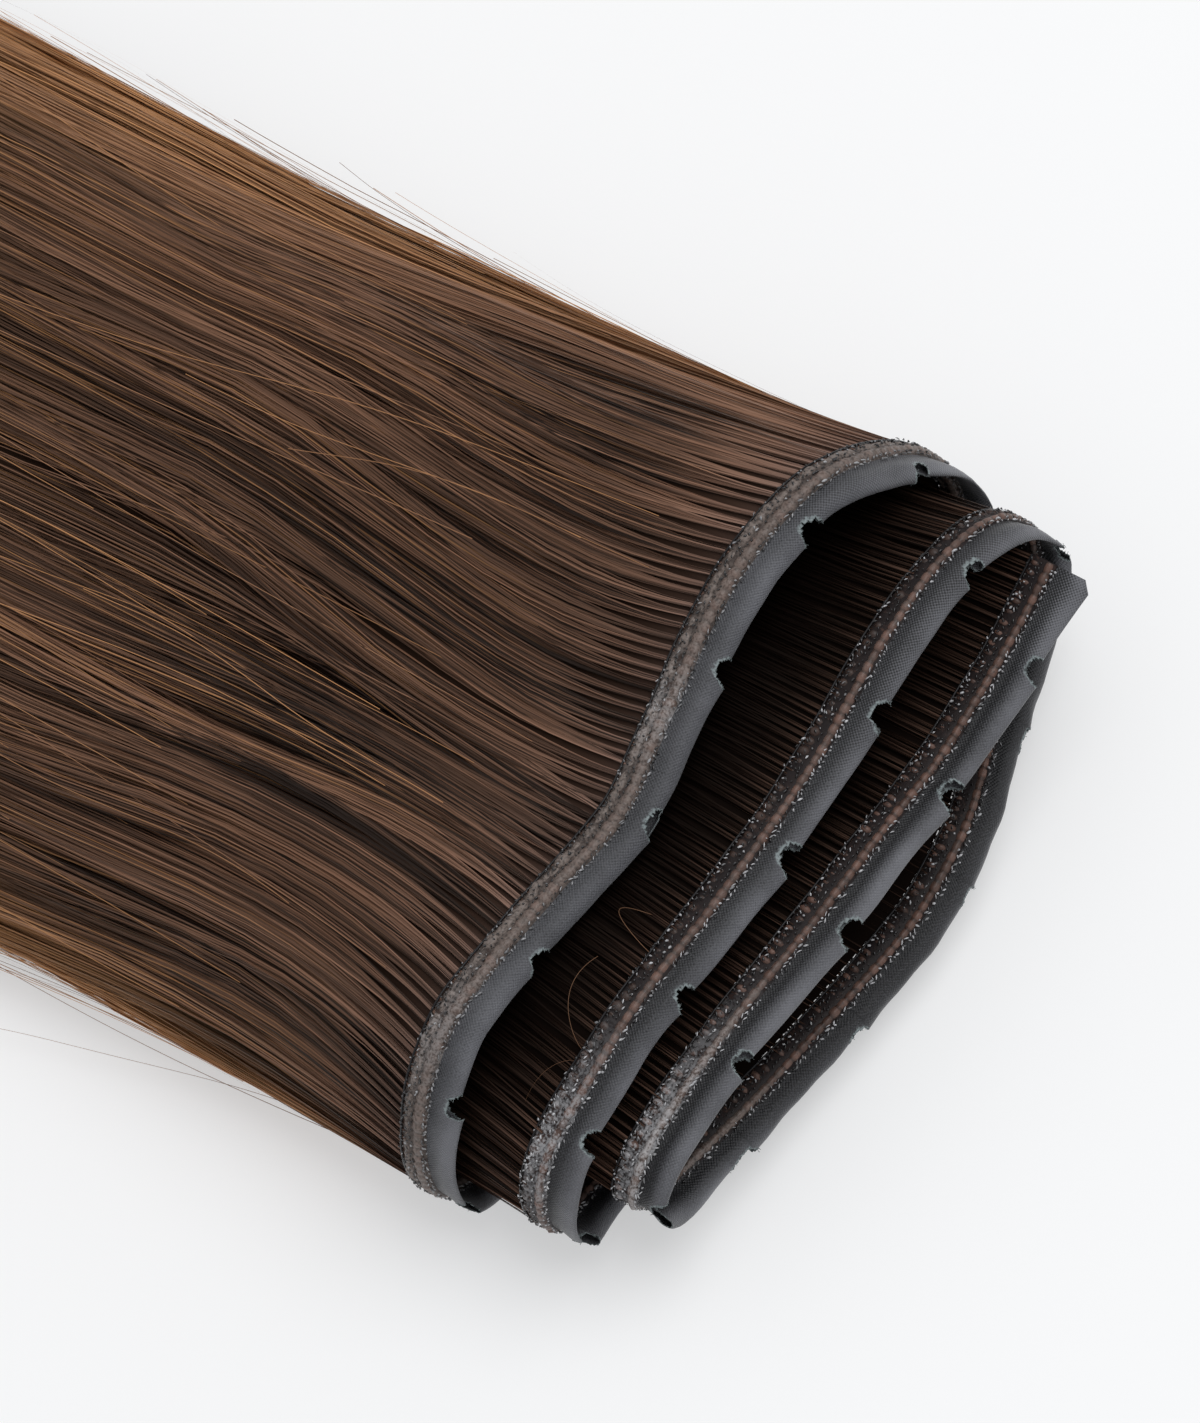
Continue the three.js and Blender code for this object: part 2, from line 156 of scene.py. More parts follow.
class Strip:
    """The rolled strip's route and its cross frames, in millimetres."""

    STEPS = 6000

    def __init__(self, rows):
        table = np.array(rows, float)
        u = np.linspace(0.0, 1.0, self.STEPS + 1)
        at = self._curve(table[:, :3], u)
        along = unit(np.gradient(at, axis=0))
        level = np.array([0.0, -1.0, 0.0]) + along * along[:, 1:2]
        self._at = at
        self._level = unit(level)
        self._face = np.cross(along, self._level)
        place = u * (len(table) - 1)
        self._band = np.interp(place, np.arange(len(table)), table[:, 3])
        self._tape = np.interp(place, np.arange(len(table)), table[:, 4])
        self._along = along
        self._s = np.concatenate([[0.0], np.cumsum(np.linalg.norm(np.diff(at, axis=0), axis=1))])
        self.length = float(self._s[-1])

    @staticmethod
    def _curve(points, u):
        """Centripetal Catmull-Rom curve, as the part's source draws it."""
        place = u * (len(points) - 1)
        i = np.clip(np.floor(place).astype(int), 0, len(points) - 2)
        w = (place - i)[:, None]
        ends = np.vstack([2 * points[0] - points[1], points, 2 * points[-1] - points[-2]])
        p0, p1, p2, p3 = ends[i], ends[i + 1], ends[i + 2], ends[i + 3]

        def step(a, b):
            return np.maximum(np.sum((a - b) ** 2, axis=1, keepdims=True) ** 0.25, 1e-4)

        d0, d1, d2 = step(p0, p1), step(p1, p2), step(p2, p3)
        t1 = ((p1 - p0) / d0 - (p2 - p0) / (d0 + d1) + (p2 - p1) / d1) * d1
        t2 = ((p2 - p1) / d1 - (p3 - p1) / (d1 + d2) + (p3 - p2) / d2) * d1
        c2 = -3 * p1 + 3 * p2 - 2 * t1 - t2
        c3 = 2 * p1 - 2 * p2 + t1 + t2
        return p1 + t1 * w + c2 * w ** 2 + c3 * w ** 3

    def _read(self, table, s):
        if table.ndim == 1:
            return np.interp(s, self._s, table)
        return np.stack([np.interp(s, self._s, table[:, k]) for k in range(3)], axis=-1)

    def frame(self, s):
        """Place, run, level and face axes at distances s along the strip."""
        s = np.asarray(s, float)
        return (
            self._read(self._at, s),
            unit(self._read(self._along, s)),
            unit(self._read(self._level, s)),
            unit(self._read(self._face, s)),
        )

    def droops(self, s):
        """Droop of the band and of the tape, in radians."""
        return np.radians(self._read(self._band, s)), np.radians(self._read(self._tape, s))

    @staticmethod
    def turned(level, face, angle):
        """Axes turned down by a droop, which fades out round the folds."""
        a = (angle * face[..., 2])[..., None]
        return level * np.cos(a) - face * np.sin(a), face * np.cos(a) + level * np.sin(a)

    def band_point(self, s, out, off):
        """A place on the band: out from the seam and off the face."""
        at, _, level, face = self.frame(s)
        outward, normal = self.turned(level, face, self.droops(s)[0])
        return at + outward * np.asarray(out)[..., None] + normal * np.asarray(off)[..., None]

    def band_axes(self, s):
        """Run, outward and normal axes of the band."""
        _, along, level, face = self.frame(s)
        outward, normal = self.turned(level, face, self.droops(s)[0])
        return along, outward, normal


STRIP = Strip(STRIP_ROWS)


def frame_shift():
    """Millimetres from the strip's own axes to the shared frame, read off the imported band."""
    low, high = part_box("stitched_band")
    packed = (np.array(low) + np.array(high)) / 2 / MM
    s = np.linspace(0, STRIP.length, 4000)
    edges = np.concatenate([STRIP.band_point(s, out, np.zeros_like(s)) for out in (BAND_EDGE, ROOT_OUT)])
    own = (edges.min(axis=0) + edges.max(axis=0)) / 2
    return np.array([packed[0] - own[0], packed[1] - own[1], 0.0])


SHIFT = frame_shift()


def outer_turn(s):
    """0 on the inner turns of the strip and 1 on the outermost."""
    return smoothstep(s, OUTER_FROM - 12, OUTER_FROM + 40)


def notch_places():
    """Distance of each notch's middle along the strip."""
    return np.concatenate([first + spacing * np.arange(count) for first, count, spacing in NOTCH_RUNS])


# Mesh making from arrays

def make_piece(name, points, faces, material, attributes=None):
    """A smooth mesh from points in mm and an array of faces, riding the body, with named point attributes."""
    mesh = bpy.data.meshes.new(name)
    count, corners = faces.shape
    mesh.vertices.add(len(points))
    mesh.vertices.foreach_set("co", ((points + SHIFT) * MM).astype(np.float32).ravel())
    mesh.loops.add(count * corners)
    mesh.loops.foreach_set("vertex_index", faces.astype(np.int32).ravel())
    mesh.polygons.add(count)
    mesh.polygons.foreach_set("loop_start", np.arange(0, count * corners, corners, dtype=np.int32))
    mesh.update(calc_edges=True)
    if mesh.validate():
        raise RuntimeError(f"{name}: the arrays do not make a clean mesh")
    mesh.polygons.foreach_set("use_smooth", np.ones(count, dtype=bool))
    for key, values in (attributes or {}).items():
        kind, field = ("FLOAT_VECTOR", "vector") if values.ndim == 2 else ("FLOAT", "value")
        layer = mesh.attributes.new(key, kind, "POINT")
        layer.data.foreach_set(field, values.astype(np.float32).ravel())
    mesh.materials.append(material)
    piece = bpy.data.objects.new(name, mesh)
    bpy.context.scene.collection.objects.link(piece)
    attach(piece, BODY)
    return piece


def grid_faces(rows, columns, closed=False):
    """Quads of a grid of points, row by row; closed joins the last column to the first."""
    i, j = np.meshgrid(np.arange(rows - 1), np.arange(columns if closed else columns - 1), indexing="ij")
    k = (j + 1) % columns
    return np.stack(
        [i * columns + j, i * columns + k, (i + 1) * columns + k, (i + 1) * columns + j], axis=-1
    ).reshape(-1, 4)


def repeat_faces(faces, copies, stride):
    """The same faces for many copies of one set of points."""
    return (faces[None] + (np.arange(copies) * stride)[:, None, None]).reshape(-1, faces.shape[1])


def ribbons(paths, widths, normals, rolls):
    """Flat strands along paths of shape (strands, stations, 3): points and faces."""
    tangent = unit(np.gradient(paths, axis=1))
    side = unit(np.cross(tangent, normals))
    over = np.cross(side, tangent)
    roll = rolls[:, None, None]
    side = side * np.cos(roll) + over * np.sin(roll)
    half = side * (widths / 2)[..., None]
    points = np.stack([paths - half, paths + half], axis=2).reshape(-1, 3)
    strands, stations = paths.shape[:2]
    return points, repeat_faces(grid_faces(stations, 2), strands, stations * 2)


def tubes(paths, radius, sides):
    """Thin round threads along paths of shape (threads, stations, 3), one radius a thread or a station."""
    tangent = unit(np.gradient(paths, axis=1))
    guide = np.where(np.abs(tangent[..., 2:3]) > 0.9, [1.0, 0.0, 0.0], [0.0, 0.0, 1.0])
    first = unit(np.cross(tangent, guide))
    second = np.cross(tangent, first)
    angle = np.arange(sides) * 2 * math.pi / sides
    ring = first[:, :, None] * np.cos(angle)[:, None] + second[:, :, None] * np.sin(angle)[:, None]
    radius = np.broadcast_to(np.asarray(radius).reshape(len(paths), -1), paths.shape[:2])
    points = (paths[:, :, None] + ring * radius[..., None, None]).reshape(-1, 3)
    threads, stations = paths.shape[:2]
    return points, repeat_faces(grid_faces(stations, sides, closed=True), threads, stations * sides)


# Shader expressions

class Socket:
    """A socket in a shader expression; Python operators on it add Math nodes."""

    def __init__(self, shader, link):
        self.shader = shader
        self.link = link

    def _math(self, operation, first, second):
        return self.shader.node("ShaderNodeMath", {"operation": operation}, {0: first, 1: second})

    def __add__(self, other):
        return self._math("ADD", self, other)

    def __radd__(self, other):
        return self._math("ADD", other, self)

    def __sub__(self, other):
        return self._math("SUBTRACT", self, other)

    def __rsub__(self, other):
        return self._math("SUBTRACT", other, self)

    def __mul__(self, other):
        return self._math("MULTIPLY", self, other)

    def __rmul__(self, other):
        return self._math("MULTIPLY", other, self)

    def __truediv__(self, other):
        return self._math("DIVIDE", self, other)

    def __pow__(self, other):
        return self._math("POWER", self, other)


class Shader:
    """A material whose Principled shader is fed by expressions."""

    def __init__(self, name, **constants):
        self.material = bpy.data.materials.new(name)
        self.material.use_nodes = True
        self.tree = self.material.node_tree
        self.surface = self.tree.nodes["Principled BSDF"]
        for key, value in constants.items():
            self.surface.inputs[key.replace("_", " ")].default_value = value

    def node(self, kind, settings=None, inputs=None, output=0):
        """Any node: settings are set first, then the values or links of its sockets."""
        made = self.tree.nodes.new(kind)
        for key, value in (settings or {}).items():
            setattr(made, key, value)
        for key, value in (inputs or {}).items():
            if isinstance(value, Socket):
                self.tree.links.new(value.link, made.inputs[key])
            else:
                made.inputs[key].default_value = value
        return Socket(self, made.outputs[output])

    def attribute(self, name, output="Fac"):
        """A point attribute of the mesh."""
        return self.node("ShaderNodeAttribute", {"attribute_name": name}, output=output)

    def noise(self, vector, scale, detail):
        """Soft noise from 0 to 1 over a place in space."""
        return self.node("ShaderNodeTexNoise", {}, {"Vector": vector, "Scale": scale, "Detail": detail})

    def stretched(self, vector, factors):
        """A place with each axis multiplied by its own factor."""
        return self.node("ShaderNodeVectorMath", {"operation": "MULTIPLY"}, {0: vector, 1: factors})

    def ease(self, value, low, high):
        """0 at low and 1 at high, eased at both ends."""
        return self.node(
            "ShaderNodeMapRange",
            {"interpolation_type": "SMOOTHSTEP"},
            {"Value": value, "From Min": low, "From Max": high},
        )

    def mix(self, factor, first, second):
        """A colour between two, each a socket or three numbers."""
        def colour(value):
            return value if isinstance(value, Socket) else (*value, 1.0)

        return self.node(
            "ShaderNodeMix",
            {"data_type": "RGBA"},
            {"Factor": factor, 6: colour(first), 7: colour(second)},
            output=2,
        )

    def sine(self, value):
        """Sine of a socket."""
        return self.node("ShaderNodeMath", {"operation": "SINE"}, {0: value})

    def feed(self, **sockets):
        """Link sockets to the Principled shader's inputs of the same names."""
        for key, value in sockets.items():
            self.tree.links.new(value.link, self.surface.inputs[key.replace("_", " ")])
        return self

    def bump(self, height, strength, distance):
        """Bump from a height, on the Principled shader's normal."""
        made = self.node("ShaderNodeBump", {}, {"Height": height, "Strength": strength, "Distance": distance})
        return self.feed(Normal=made)


def object_place(shader):
    """The place on the piece, in the piece's own axes."""
    return shader.node("ShaderNodeTexCoord", output="Object")


# Sizes and colours that a user would change

class WeftTapeSettings(bpy.types.PropertyGroup):
    width: FloatProperty(
        name="Width", description="Seam to folded edge", default=3.1 * MM, unit="LENGTH"
    )
    tuck: FloatProperty(
        name="Tuck", description="Part of each ply sewn into the band", default=0.85 * MM, unit="LENGTH"
    )
    bulge: FloatProperty(
        name="Bulge", description="Half thickness of the soft fold", default=0.85 * MM, unit="LENGTH"
    )
    notch_length: FloatProperty(
        name="Notch length", description="Along the strip", default=3.2 * MM, unit="LENGTH"
    )
    notch_depth: FloatProperty(
        name="Notch depth", description="In from the folded edge", default=1.75 * MM, unit="LENGTH"
    )
    barb: FloatProperty(
        name="Barb", description="Reach of the corner beside a notch", default=0.5 * MM, unit="LENGTH"
    )
    net: FloatVectorProperty(
        name="Net", description="Dark grey net", subtype="COLOR", default=(0.076, 0.077, 0.085)
    )
    rim: FloatVectorProperty(
        name="Cut rim", description="Pale rim of a notch", subtype="COLOR", default=(0.20, 0.235, 0.24)
    )


class WeftBandSettings(bpy.types.PropertyGroup):
    width: FloatProperty(name="Width", description="Seam to hair", default=3.2 * MM, unit="LENGTH")
    tuft_pitch: FloatProperty(
        name="Tuft pitch", description="Spacing of the sewn tufts", default=1.2 * MM, unit="LENGTH"
    )
    stitch_pitch: FloatProperty(
        name="Stitch pitch", description="Spacing of the stitches", default=0.60 * MM, unit="LENGTH"
    )
    brown: FloatVectorProperty(
        name="Brown", description="Gathered hair", subtype="COLOR", default=(0.112, 0.068, 0.055)
    )
    cover: FloatVectorProperty(
        name="Cover", description="Dark net over the hair", subtype="COLOR", default=(0.012, 0.011, 0.012)
    )
    veil: FloatVectorProperty(
        name="Veil", description="Lit threads of the net", subtype="COLOR", default=(0.175, 0.143, 0.127)
    )
    thread: FloatVectorProperty(
        name="Thread", description="Glossy sewing thread", subtype="COLOR", default=(0.62, 0.62, 0.64)
    )


class WeftHairSettings(bpy.types.PropertyGroup):
    length: FloatProperty(
        name="Length", description="Root to longest tip", default=384.0 * MM, unit="LENGTH"
    )
    strand: FloatProperty(
        name="Strand", description="Width of a drawn strand", default=0.14 * MM, unit="LENGTH"
    )
    per_tuft: IntProperty(name="Strands a tuft", description="On the outside of the roll", default=58)
    per_inner_tuft: IntProperty(name="Inner strands a tuft", description="Inside the roll", default=12)
    flyaways: IntProperty(name="Flyaways", description="Loose strands off the surface", default=130)
    dark: FloatVectorProperty(
        name="Dark", description="Darkest strands", subtype="COLOR", default=(0.009, 0.0048, 0.0038)
    )
    mid: FloatVectorProperty(
        name="Brown", description="Most strands", subtype="COLOR", default=(0.215, 0.110, 0.066)
    )
    root: FloatVectorProperty(
        name="Root", description="Ashen brown at the band", subtype="COLOR", default=(0.205, 0.125, 0.098)
    )
    gold: FloatVectorProperty(
        name="Gold", description="Lighter strands and edges", subtype="COLOR", default=(0.55, 0.265, 0.105)
    )


class WeftStageSettings(bpy.types.PropertyGroup):
    table: FloatVectorProperty(
        name="Table", description="Pale table", subtype="COLOR", default=(0.50, 0.503, 0.507)
    )
    sky: FloatProperty(name="Sky", description="Strength of the even light", default=0.70)
    key: FloatProperty(name="Key", description="Power of the large soft light", default=10.0, unit="POWER")


# Net tape

TAPE_ROWS = 18
NOTCH_STEP = 0.20
SPAN_STEP = 1.3
NOTCH_MARGIN = 2.6
WINDOW_NOTCH = 24
NOTCH_SWAY = 0.3
FLARE_LENGTH = 9.0
FLARE_WIDTH = 1.1
CORNER_RADIUS = 1.2
FOLD_FLAT = 0.32
WIDEST_AT = 0.58
BENT_BY = 0.6
NET_PITCH = 0.40
NET_FREQUENCY = 2 * math.pi / NET_PITCH


def tape_columns(places, length):
    """Stations along the tape, close together at the notches."""
    spans = np.arange(0.0, length, SPAN_STEP)
    near = np.min(np.abs(spans[:, None] - places[None]), axis=1) < NOTCH_MARGIN
    local = np.arange(-NOTCH_MARGIN, NOTCH_MARGIN + NOTCH_STEP / 2, NOTCH_STEP)
    close = (places[:, None] + local[None]).ravel()
    joined = np.sort(np.concatenate([[0.0], spans[~near], close, [length]]))
    joined = joined[(joined >= 0.0) & (joined <= length)]
    return joined[np.concatenate([[True], np.diff(joined) > 0.03])]


class TapeShape:
    """Width, bulge and notches of the net tape at each station, in millimetres."""

    def __init__(self, settings, rng):
        self.places = notch_places()
        count = len(self.places)
        self.s = tape_columns(self.places, STRIP.length)
        self.half = settings.notch_length / MM / 2 * rng.uniform(0.85, 1.2, count)
        self.depth = settings.notch_depth / MM * rng.uniform(0.86, 1.14, count)
        self.nearest = np.argmin(np.abs(self.s[:, None] - self.places[None]), axis=1)
        self.width = self._widths(settings)
        calm = 0.30 + 0.70 * smoothstep(self.s, 0.0, 12.0)
        wobble = 1 + 0.10 * np.sin(self.s / 1.9 + 1.3) * np.sin(self.s / 5.3) + 0.06 * np.sin(self.s / 0.83)
        face = STRIP.frame(self.s)[3]
        pressed = FOLD_FLAT + (1 - FOLD_FLAT) * smoothstep(np.abs(face[:, 2]), 0.2, 0.85)
        self.bulge = settings.bulge / MM * calm * wobble * pressed

    def _widths(self, settings):
        s = self.s
        width = settings.width / MM + 0.10 * np.sin(s / 6.1) + 0.07 * np.sin(s / 2.3 + 2.0)
        for place, half in zip(self.places, self.half):
            past = s - place - half * 0.75
            before = place - half * 0.75 - s
            width += settings.barb / MM * np.where(past > 0, np.exp(-past / 3.2), 0.0)
            width -= 0.22 * np.where(before > 0, np.exp(-before / 2.0), 0.0)
        flare = np.clip(1 - s / FLARE_LENGTH, 0, 1)
        corner = np.clip(1 - s / CORNER_RADIUS, 0, 1)
        return width + FLARE_WIDTH * flare ** 1.4 - CORNER_RADIUS * (1 - np.sqrt(1 - corner ** 2))

    def notch_field(self, out, ply, ragged):
        """Below 1 inside a notch, for points at out from the seam on one ply."""
        k = self.nearest[:, None]
        sway = NOTCH_SWAY * ply * np.sin(k * 2.7)
        d = np.abs((self.s - self.places[self.nearest])[:, None] + sway) / self.half[k]
        inward = np.maximum(self.width[:, None] - out, 0.0) / (self.depth[k] * (0.9 + 0.1 * ply))
        field = d ** 2.6 + inward ** 2.2
        window = (k == WINDOW_NOTCH) & (self.width[:, None] - out < 0.45)
        return np.where(window, 4.0, field + ragged)


def tape_section(t):
    """Half thickness of the fold at shares t of the width: pinched at the seam, 0 at the folded edge."""
    rise = 0.22 + 0.78 * smoothstep(t, 0.05, WIDEST_AT)
    turn = np.sqrt(np.clip(1 - ((t - WIDEST_AT) / (1 - WIDEST_AT)) ** 2, 0, 1))
    return np.where(t > WIDEST_AT, turn, rise)


def tape_points(shape, settings):
    """Points of the hairpin: one ply from the seam out to the fold and the other ply back."""
    tuck = settings.tuck / MM
    share = 1 - (1 - np.linspace(0.0, 1.0, TAPE_ROWS)) ** 1.35
    at, _, level, face = STRIP.frame(shape.s)
    band, tape = STRIP.droops(shape.s)
    spine, normals, outs = [], [], []
    point = at.copy()
    reached = np.zeros_like(shape.s)
    for t in share:
        out = shape.width * t
        middle = (out + reached) / 2
        bend = band + (tape - band) * smoothstep(middle / (BENT_BY * shape.width), 0.0, 1.0)
        outward, _ = STRIP.turned(level, face, bend)
        point = point + outward * (out - reached)[:, None]
        end = band + (tape - band) * smoothstep(out / (BENT_BY * shape.width), 0.0, 1.0)
        spine.append(point)
        normals.append(STRIP.turned(level, face, end)[1])
        outs.append(out)
        reached = out
    outward, normal = STRIP.turned(level, face, band)
    spine.insert(0, at - outward * tuck)
    normals.insert(0, normal)
    outs.insert(0, np.full_like(shape.s, -tuck))
    share = np.concatenate([[-tuck / (settings.width / MM)], share])
    half = np.where(share < 0, 0.30, tape_section(np.maximum(share, 0)))
    spine, normals, outs = np.stack(spine, 1), np.stack(normals, 1), np.stack(outs, 1)
    dents = 0.05 * np.sin(shape.s[:, None] / 1.1 + outs * 1.7) * np.sin(shape.s[:, None] / 3.7)
    thick = shape.bulge[:, None] * half[None] + dents * (half[None] > 0.3)
    upper = spine + normals * thick[..., None]
    lower = (spine - normals * thick[..., None])[:, -2::-1]
    ply = np.concatenate([np.ones(len(share)), -np.ones(len(share) - 1)])
    return np.concatenate([upper, lower], 1), np.concatenate([outs, outs[:, -2::-1]], 1), ply


def open_net(s):
    """Where the net's mesh is easiest to see: the free end and the right ends of the outer turns."""
    end = 1 - smoothstep(s, 5.0, 16.0)
    second = 0.7 * smoothstep(s, 176, 188) * (1 - smoothstep(s, 205, 228))
    outer = 0.5 * smoothstep(s, 390, 400) * (1 - smoothstep(s, 408, 424))
    return end + second + outer


def tape_painted_shade(s, across):
    """Painted shade on the net's tone: dark in the crease at the seam, lightest past the middle and dim along
    the fold, with the second pass painted in shade and gentle patches along the strip.
    """
    shaded = 1 - 0.55 * smoothstep(s, 92, 106) * (1 - smoothstep(s, 164, 178))
    least = 0.30 * outer_turn(s) + 0.08 * smoothstep(s, 150, 190)
    rise = least + (1 - least) * smoothstep(across, 0.10, 0.85)
    patches = 1 + 0.20 * np.sin(s / 6.7 + 1.7 * np.sin(s / 21.0)) + 0.10 * np.sin(s / 2.9 + 1.0)
    return shaded * rise * patches * (1 - 0.25 * smoothstep(across, 0.85, 1.0))


def net_material(settings):
    """Fine dark net with a soft sheen, paler along a cut rim, mixed between a painted-shade and a
    painted-light copy of the net by its tone.
    """
    shader = Shader("folded_net", Sheen_Weight=0.12, Sheen_Roughness=0.35, Specular_IOR_Level=0.3)
    weave = shader.attribute("weave", "Vector")
    fine = shader.noise(weave, 4.5, 1.0)
    cloud = shader.noise(object_place(shader), 260.0, 3.0)
    split = shader.node("ShaderNodeSeparateXYZ", {}, {0: weave})
    across = Socket(shader, split.link.node.outputs["Y"])
    net = shader.sine(split * NET_FREQUENCY) * shader.sine(across * NET_FREQUENCY)
    rim = shader.attribute("rim")
    weave_seen = 0.10 + shader.attribute("open_net") * 0.45
    # The tone attribute is painted shade: it darkens the net in the crease, along the fold and on the second
    # pass.
    lit = shader.attribute("tone") * (0.85 + (cloud - 0.5) * 0.9)
    tone = lit + net * weave_seen + (fine - 0.5) * 0.65
    shade = shader.mix(tone, tuple(c * 0.14 for c in settings.net), tuple(c * 1.7 for c in settings.net))
    pale = shader.mix(shader.ease(rim + (fine - 0.5) * 0.5, 0.35, 0.85), shade, tuple(settings.rim))
    shader.feed(Base_Color=pale, Roughness=0.34 + fine * 0.25)
    shader.bump(net * 0.4 + fine, 0.6, 0.00012)
    return shader.material


class WEFT_OT_net_tape(bpy.types.Operator):
    """Build the folded net tape with its ragged notches"""

    bl_idname = "weft.net_tape"
    bl_label = "Net tape"

    def execute(self, context):
        settings = context.scene.weft_tape
        rng = np.random.default_rng(11)
        shape = TapeShape(settings, rng)
        points, outs, ply = tape_points(shape, settings)
        columns, rows = outs.shape
        cell = rng.normal(0.0, 0.10, (columns, rows))
        field = shape.notch_field(outs, ply[None], cell)
        faces = grid_faces(columns, rows)
        middle = field.ravel()[faces].mean(axis=1)
        kept = faces[middle > 1.0]
        rim = np.exp(-np.maximum(field - 1.0, 0.0) / 0.45).ravel()
        fold = np.cumsum(np.linalg.norm(np.diff(points, axis=1, prepend=points[:, :1]), axis=2), axis=1)
        weave = np.stack([np.repeat(shape.s, rows), fold.ravel(), np.zeros(columns * rows)], axis=1)
        # The tone look carries the tape's painted shade.
        looks = {
            "rim": rim,
            "weave": weave,
            "tone": tape_painted_shade(shape.s[:, None], np.maximum(outs, 0.0) / shape.width[:, None]).ravel(),
            "open_net": np.repeat(open_net(shape.s), rows),
        }
        material = net_material(settings)
        flat_points = points.reshape(-1, 3)
        piece = make_piece("net_tape", flat_points, kept, material, looks)
        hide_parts("fin_tape")
        frays = self.frays(flat_points, kept, faces, settings, rng)
        return {"FINISHED"}

    def frays(self, points, kept, whole, settings, rng):
        """Pale rim and loose fibres along the cut edges of the notches."""
        def edges_of(faces):
            pairs = np.concatenate([faces[:, [0, 1]], faces[:, [1, 2]], faces[:, [2, 3]], faces[:, [3, 0]]])
            return np.sort(pairs, axis=1)

        def single(faces):
            found, uses = np.unique(edges_of(faces), axis=0, return_counts=True)
            return {tuple(edge) for edge in found[uses == 1]}

        cut = np.array(sorted(single(kept) - single(whole)))
        ends = points[cut]
        bent = ends.mean(axis=1) + rng.normal(0, 0.03, (len(cut), 3))
        rims = np.stack([ends[:, 0], bent, ends[:, 1]], axis=1)
        rim_points, rim_faces = tubes(rims, rng.uniform(0.03, 0.06, len(cut)), 3)
        chosen = rng.random(len(cut)) < 0.4
        start = ends[chosen].mean(axis=1)
        heading = unit(rng.normal(0, 1, start.shape))
        reach = rng.uniform(0.10, 0.36, len(start))[:, None]
        curl = rng.normal(0, 0.08, start.shape)
        fibres = np.stack([start, start + heading * reach * 0.5 + curl, start + heading * reach], axis=1)
        fibre_points, fibre_faces = tubes(fibres, np.full(len(start), 0.03), 3)
        material = rim_material(settings)
        joined = np.concatenate([rim_points, fibre_points])
        faces = np.concatenate([rim_faces, fibre_faces + len(rim_points)])
        return make_piece("notch_frays", joined, faces, material)


def rim_material(settings):
    """Pale fused fibres where the net was cut."""
    shader = Shader("cut_rim", Specular_IOR_Level=0.4)
    cloud = shader.noise(object_place(shader), 2600.0, 2.0)
    dark = tuple(c * 0.28 for c in settings.rim)
    shader.feed(Base_Color=shader.mix(shader.ease(cloud, 0.35, 0.7), dark, tuple(settings.rim)))
    shader.feed(Roughness=0.45 + cloud * 0.2)
    return shader.material


# Stitched band

CORD_OUT = -1.02
LUMP_OUT = -2.50
EDGE_OUT = -3.28
BACK_STEP = 0.9
BACK_HALF_THICK = 0.5
BACK_SIDES = 12
CORD_STEP = 0.195
CORD_PITCH = 1.25
CORD_SIDES = 8
EDGE_STEP = 0.6
EDGE_OFF = 0.42
EDGE_RADIUS = 0.13
LUMP_RINGS = 6
LUMP_SIDES = 7
LUMP_POLE = 0.12

# Painted glints: places where the thread is painted brighter, as if catching the light. Columns: place along
# the strip, half length in mm, strength.
PAINTED_GLINTS = (
    (76.0, 12.0, 0.9),
    (267.0, 9.0, 0.9),
    (439.0, 5.0, 0.4),
    (481.0, 6.0, 0.3),
)


def painted_glints(s):
    """How much painted glint the thread gets at distances s along the strip."""
    return sum(share * np.exp(-((s - middle) / half) ** 2) for middle, half, share in PAINTED_GLINTS)


def sweep_oval(s, out, half_out, half_off, sides):
    """A soft oval bar along the band: points in rings."""
    angle = np.arange(sides) * 2 * math.pi / sides
    stations = np.repeat(s[:, None], sides, axis=1)
    across = np.asarray(out).reshape(-1, 1) + np.asarray(half_out).reshape(-1, 1) * np.cos(angle)[None]
    height = np.asarray(half_off).reshape(-1, 1) * np.sin(angle)[None]
    return STRIP.band_point(stations, across, np.broadcast_to(height, stations.shape)).reshape(-1, 3)


def covered_hair_material(name, settings, share, gloss):
    """Brown hair gathered under a dark translucent net; share is how much of it the net hides. A painted
    glint lightens it toward the thread's colour.
    """
    shader = Shader(name, Specular_IOR_Level=gloss, Coat_Weight=gloss, Coat_Roughness=0.22)
    place = object_place(shader)
    fine = shader.noise(place, 3400.0, 2.0)
    cloud = shader.noise(place, 800.0, 3.0)
    tone = shader.attribute("tone")
    # The veil attribute is partly the net's own cover and partly painted sheen, with painted glare near the
    # inner turn's left end.
    net = shader.attribute("veil")
    warm = tuple(settings.brown)
    ruddy = tuple(c * f for c, f in zip(settings.brown, (1.5, 1.3, 1.2)))
    hair = shader.mix(tone, tuple(c * 0.3 for c in settings.brown), shader.mix(fine, warm, ruddy))
    ground = shader.ease(cloud * 0.6 + fine * 0.5, 0.66 - share, 0.86 - share)
    veiled = shader.mix(ground * 0.85, hair, tuple(settings.cover))
    dim = tuple(c * 0.30 for c in settings.veil)
    grey = shader.mix(shader.ease(fine, 0.25, 0.62), dim, tuple(settings.veil))
    patch = shader.ease(cloud + net, 0.45, 0.95)
    covered = shader.mix(patch * net * 1.6, veiled, grey)
    # Painted glint: the base colour is pushed toward the pale thread where the thread should catch the light.
    painted_glint = shader.attribute("painted_glint") * shader.ease(fine * 0.6 + cloud * 0.5, 0.42, 0.66)
    shader.feed(Base_Color=shader.mix(painted_glint, covered, tuple(c * 0.75 for c in settings.thread)))
    shader.feed(Roughness=0.30 + fine * 0.3)
    shader.bump(fine, 0.7, 0.00010)
    return shader.material


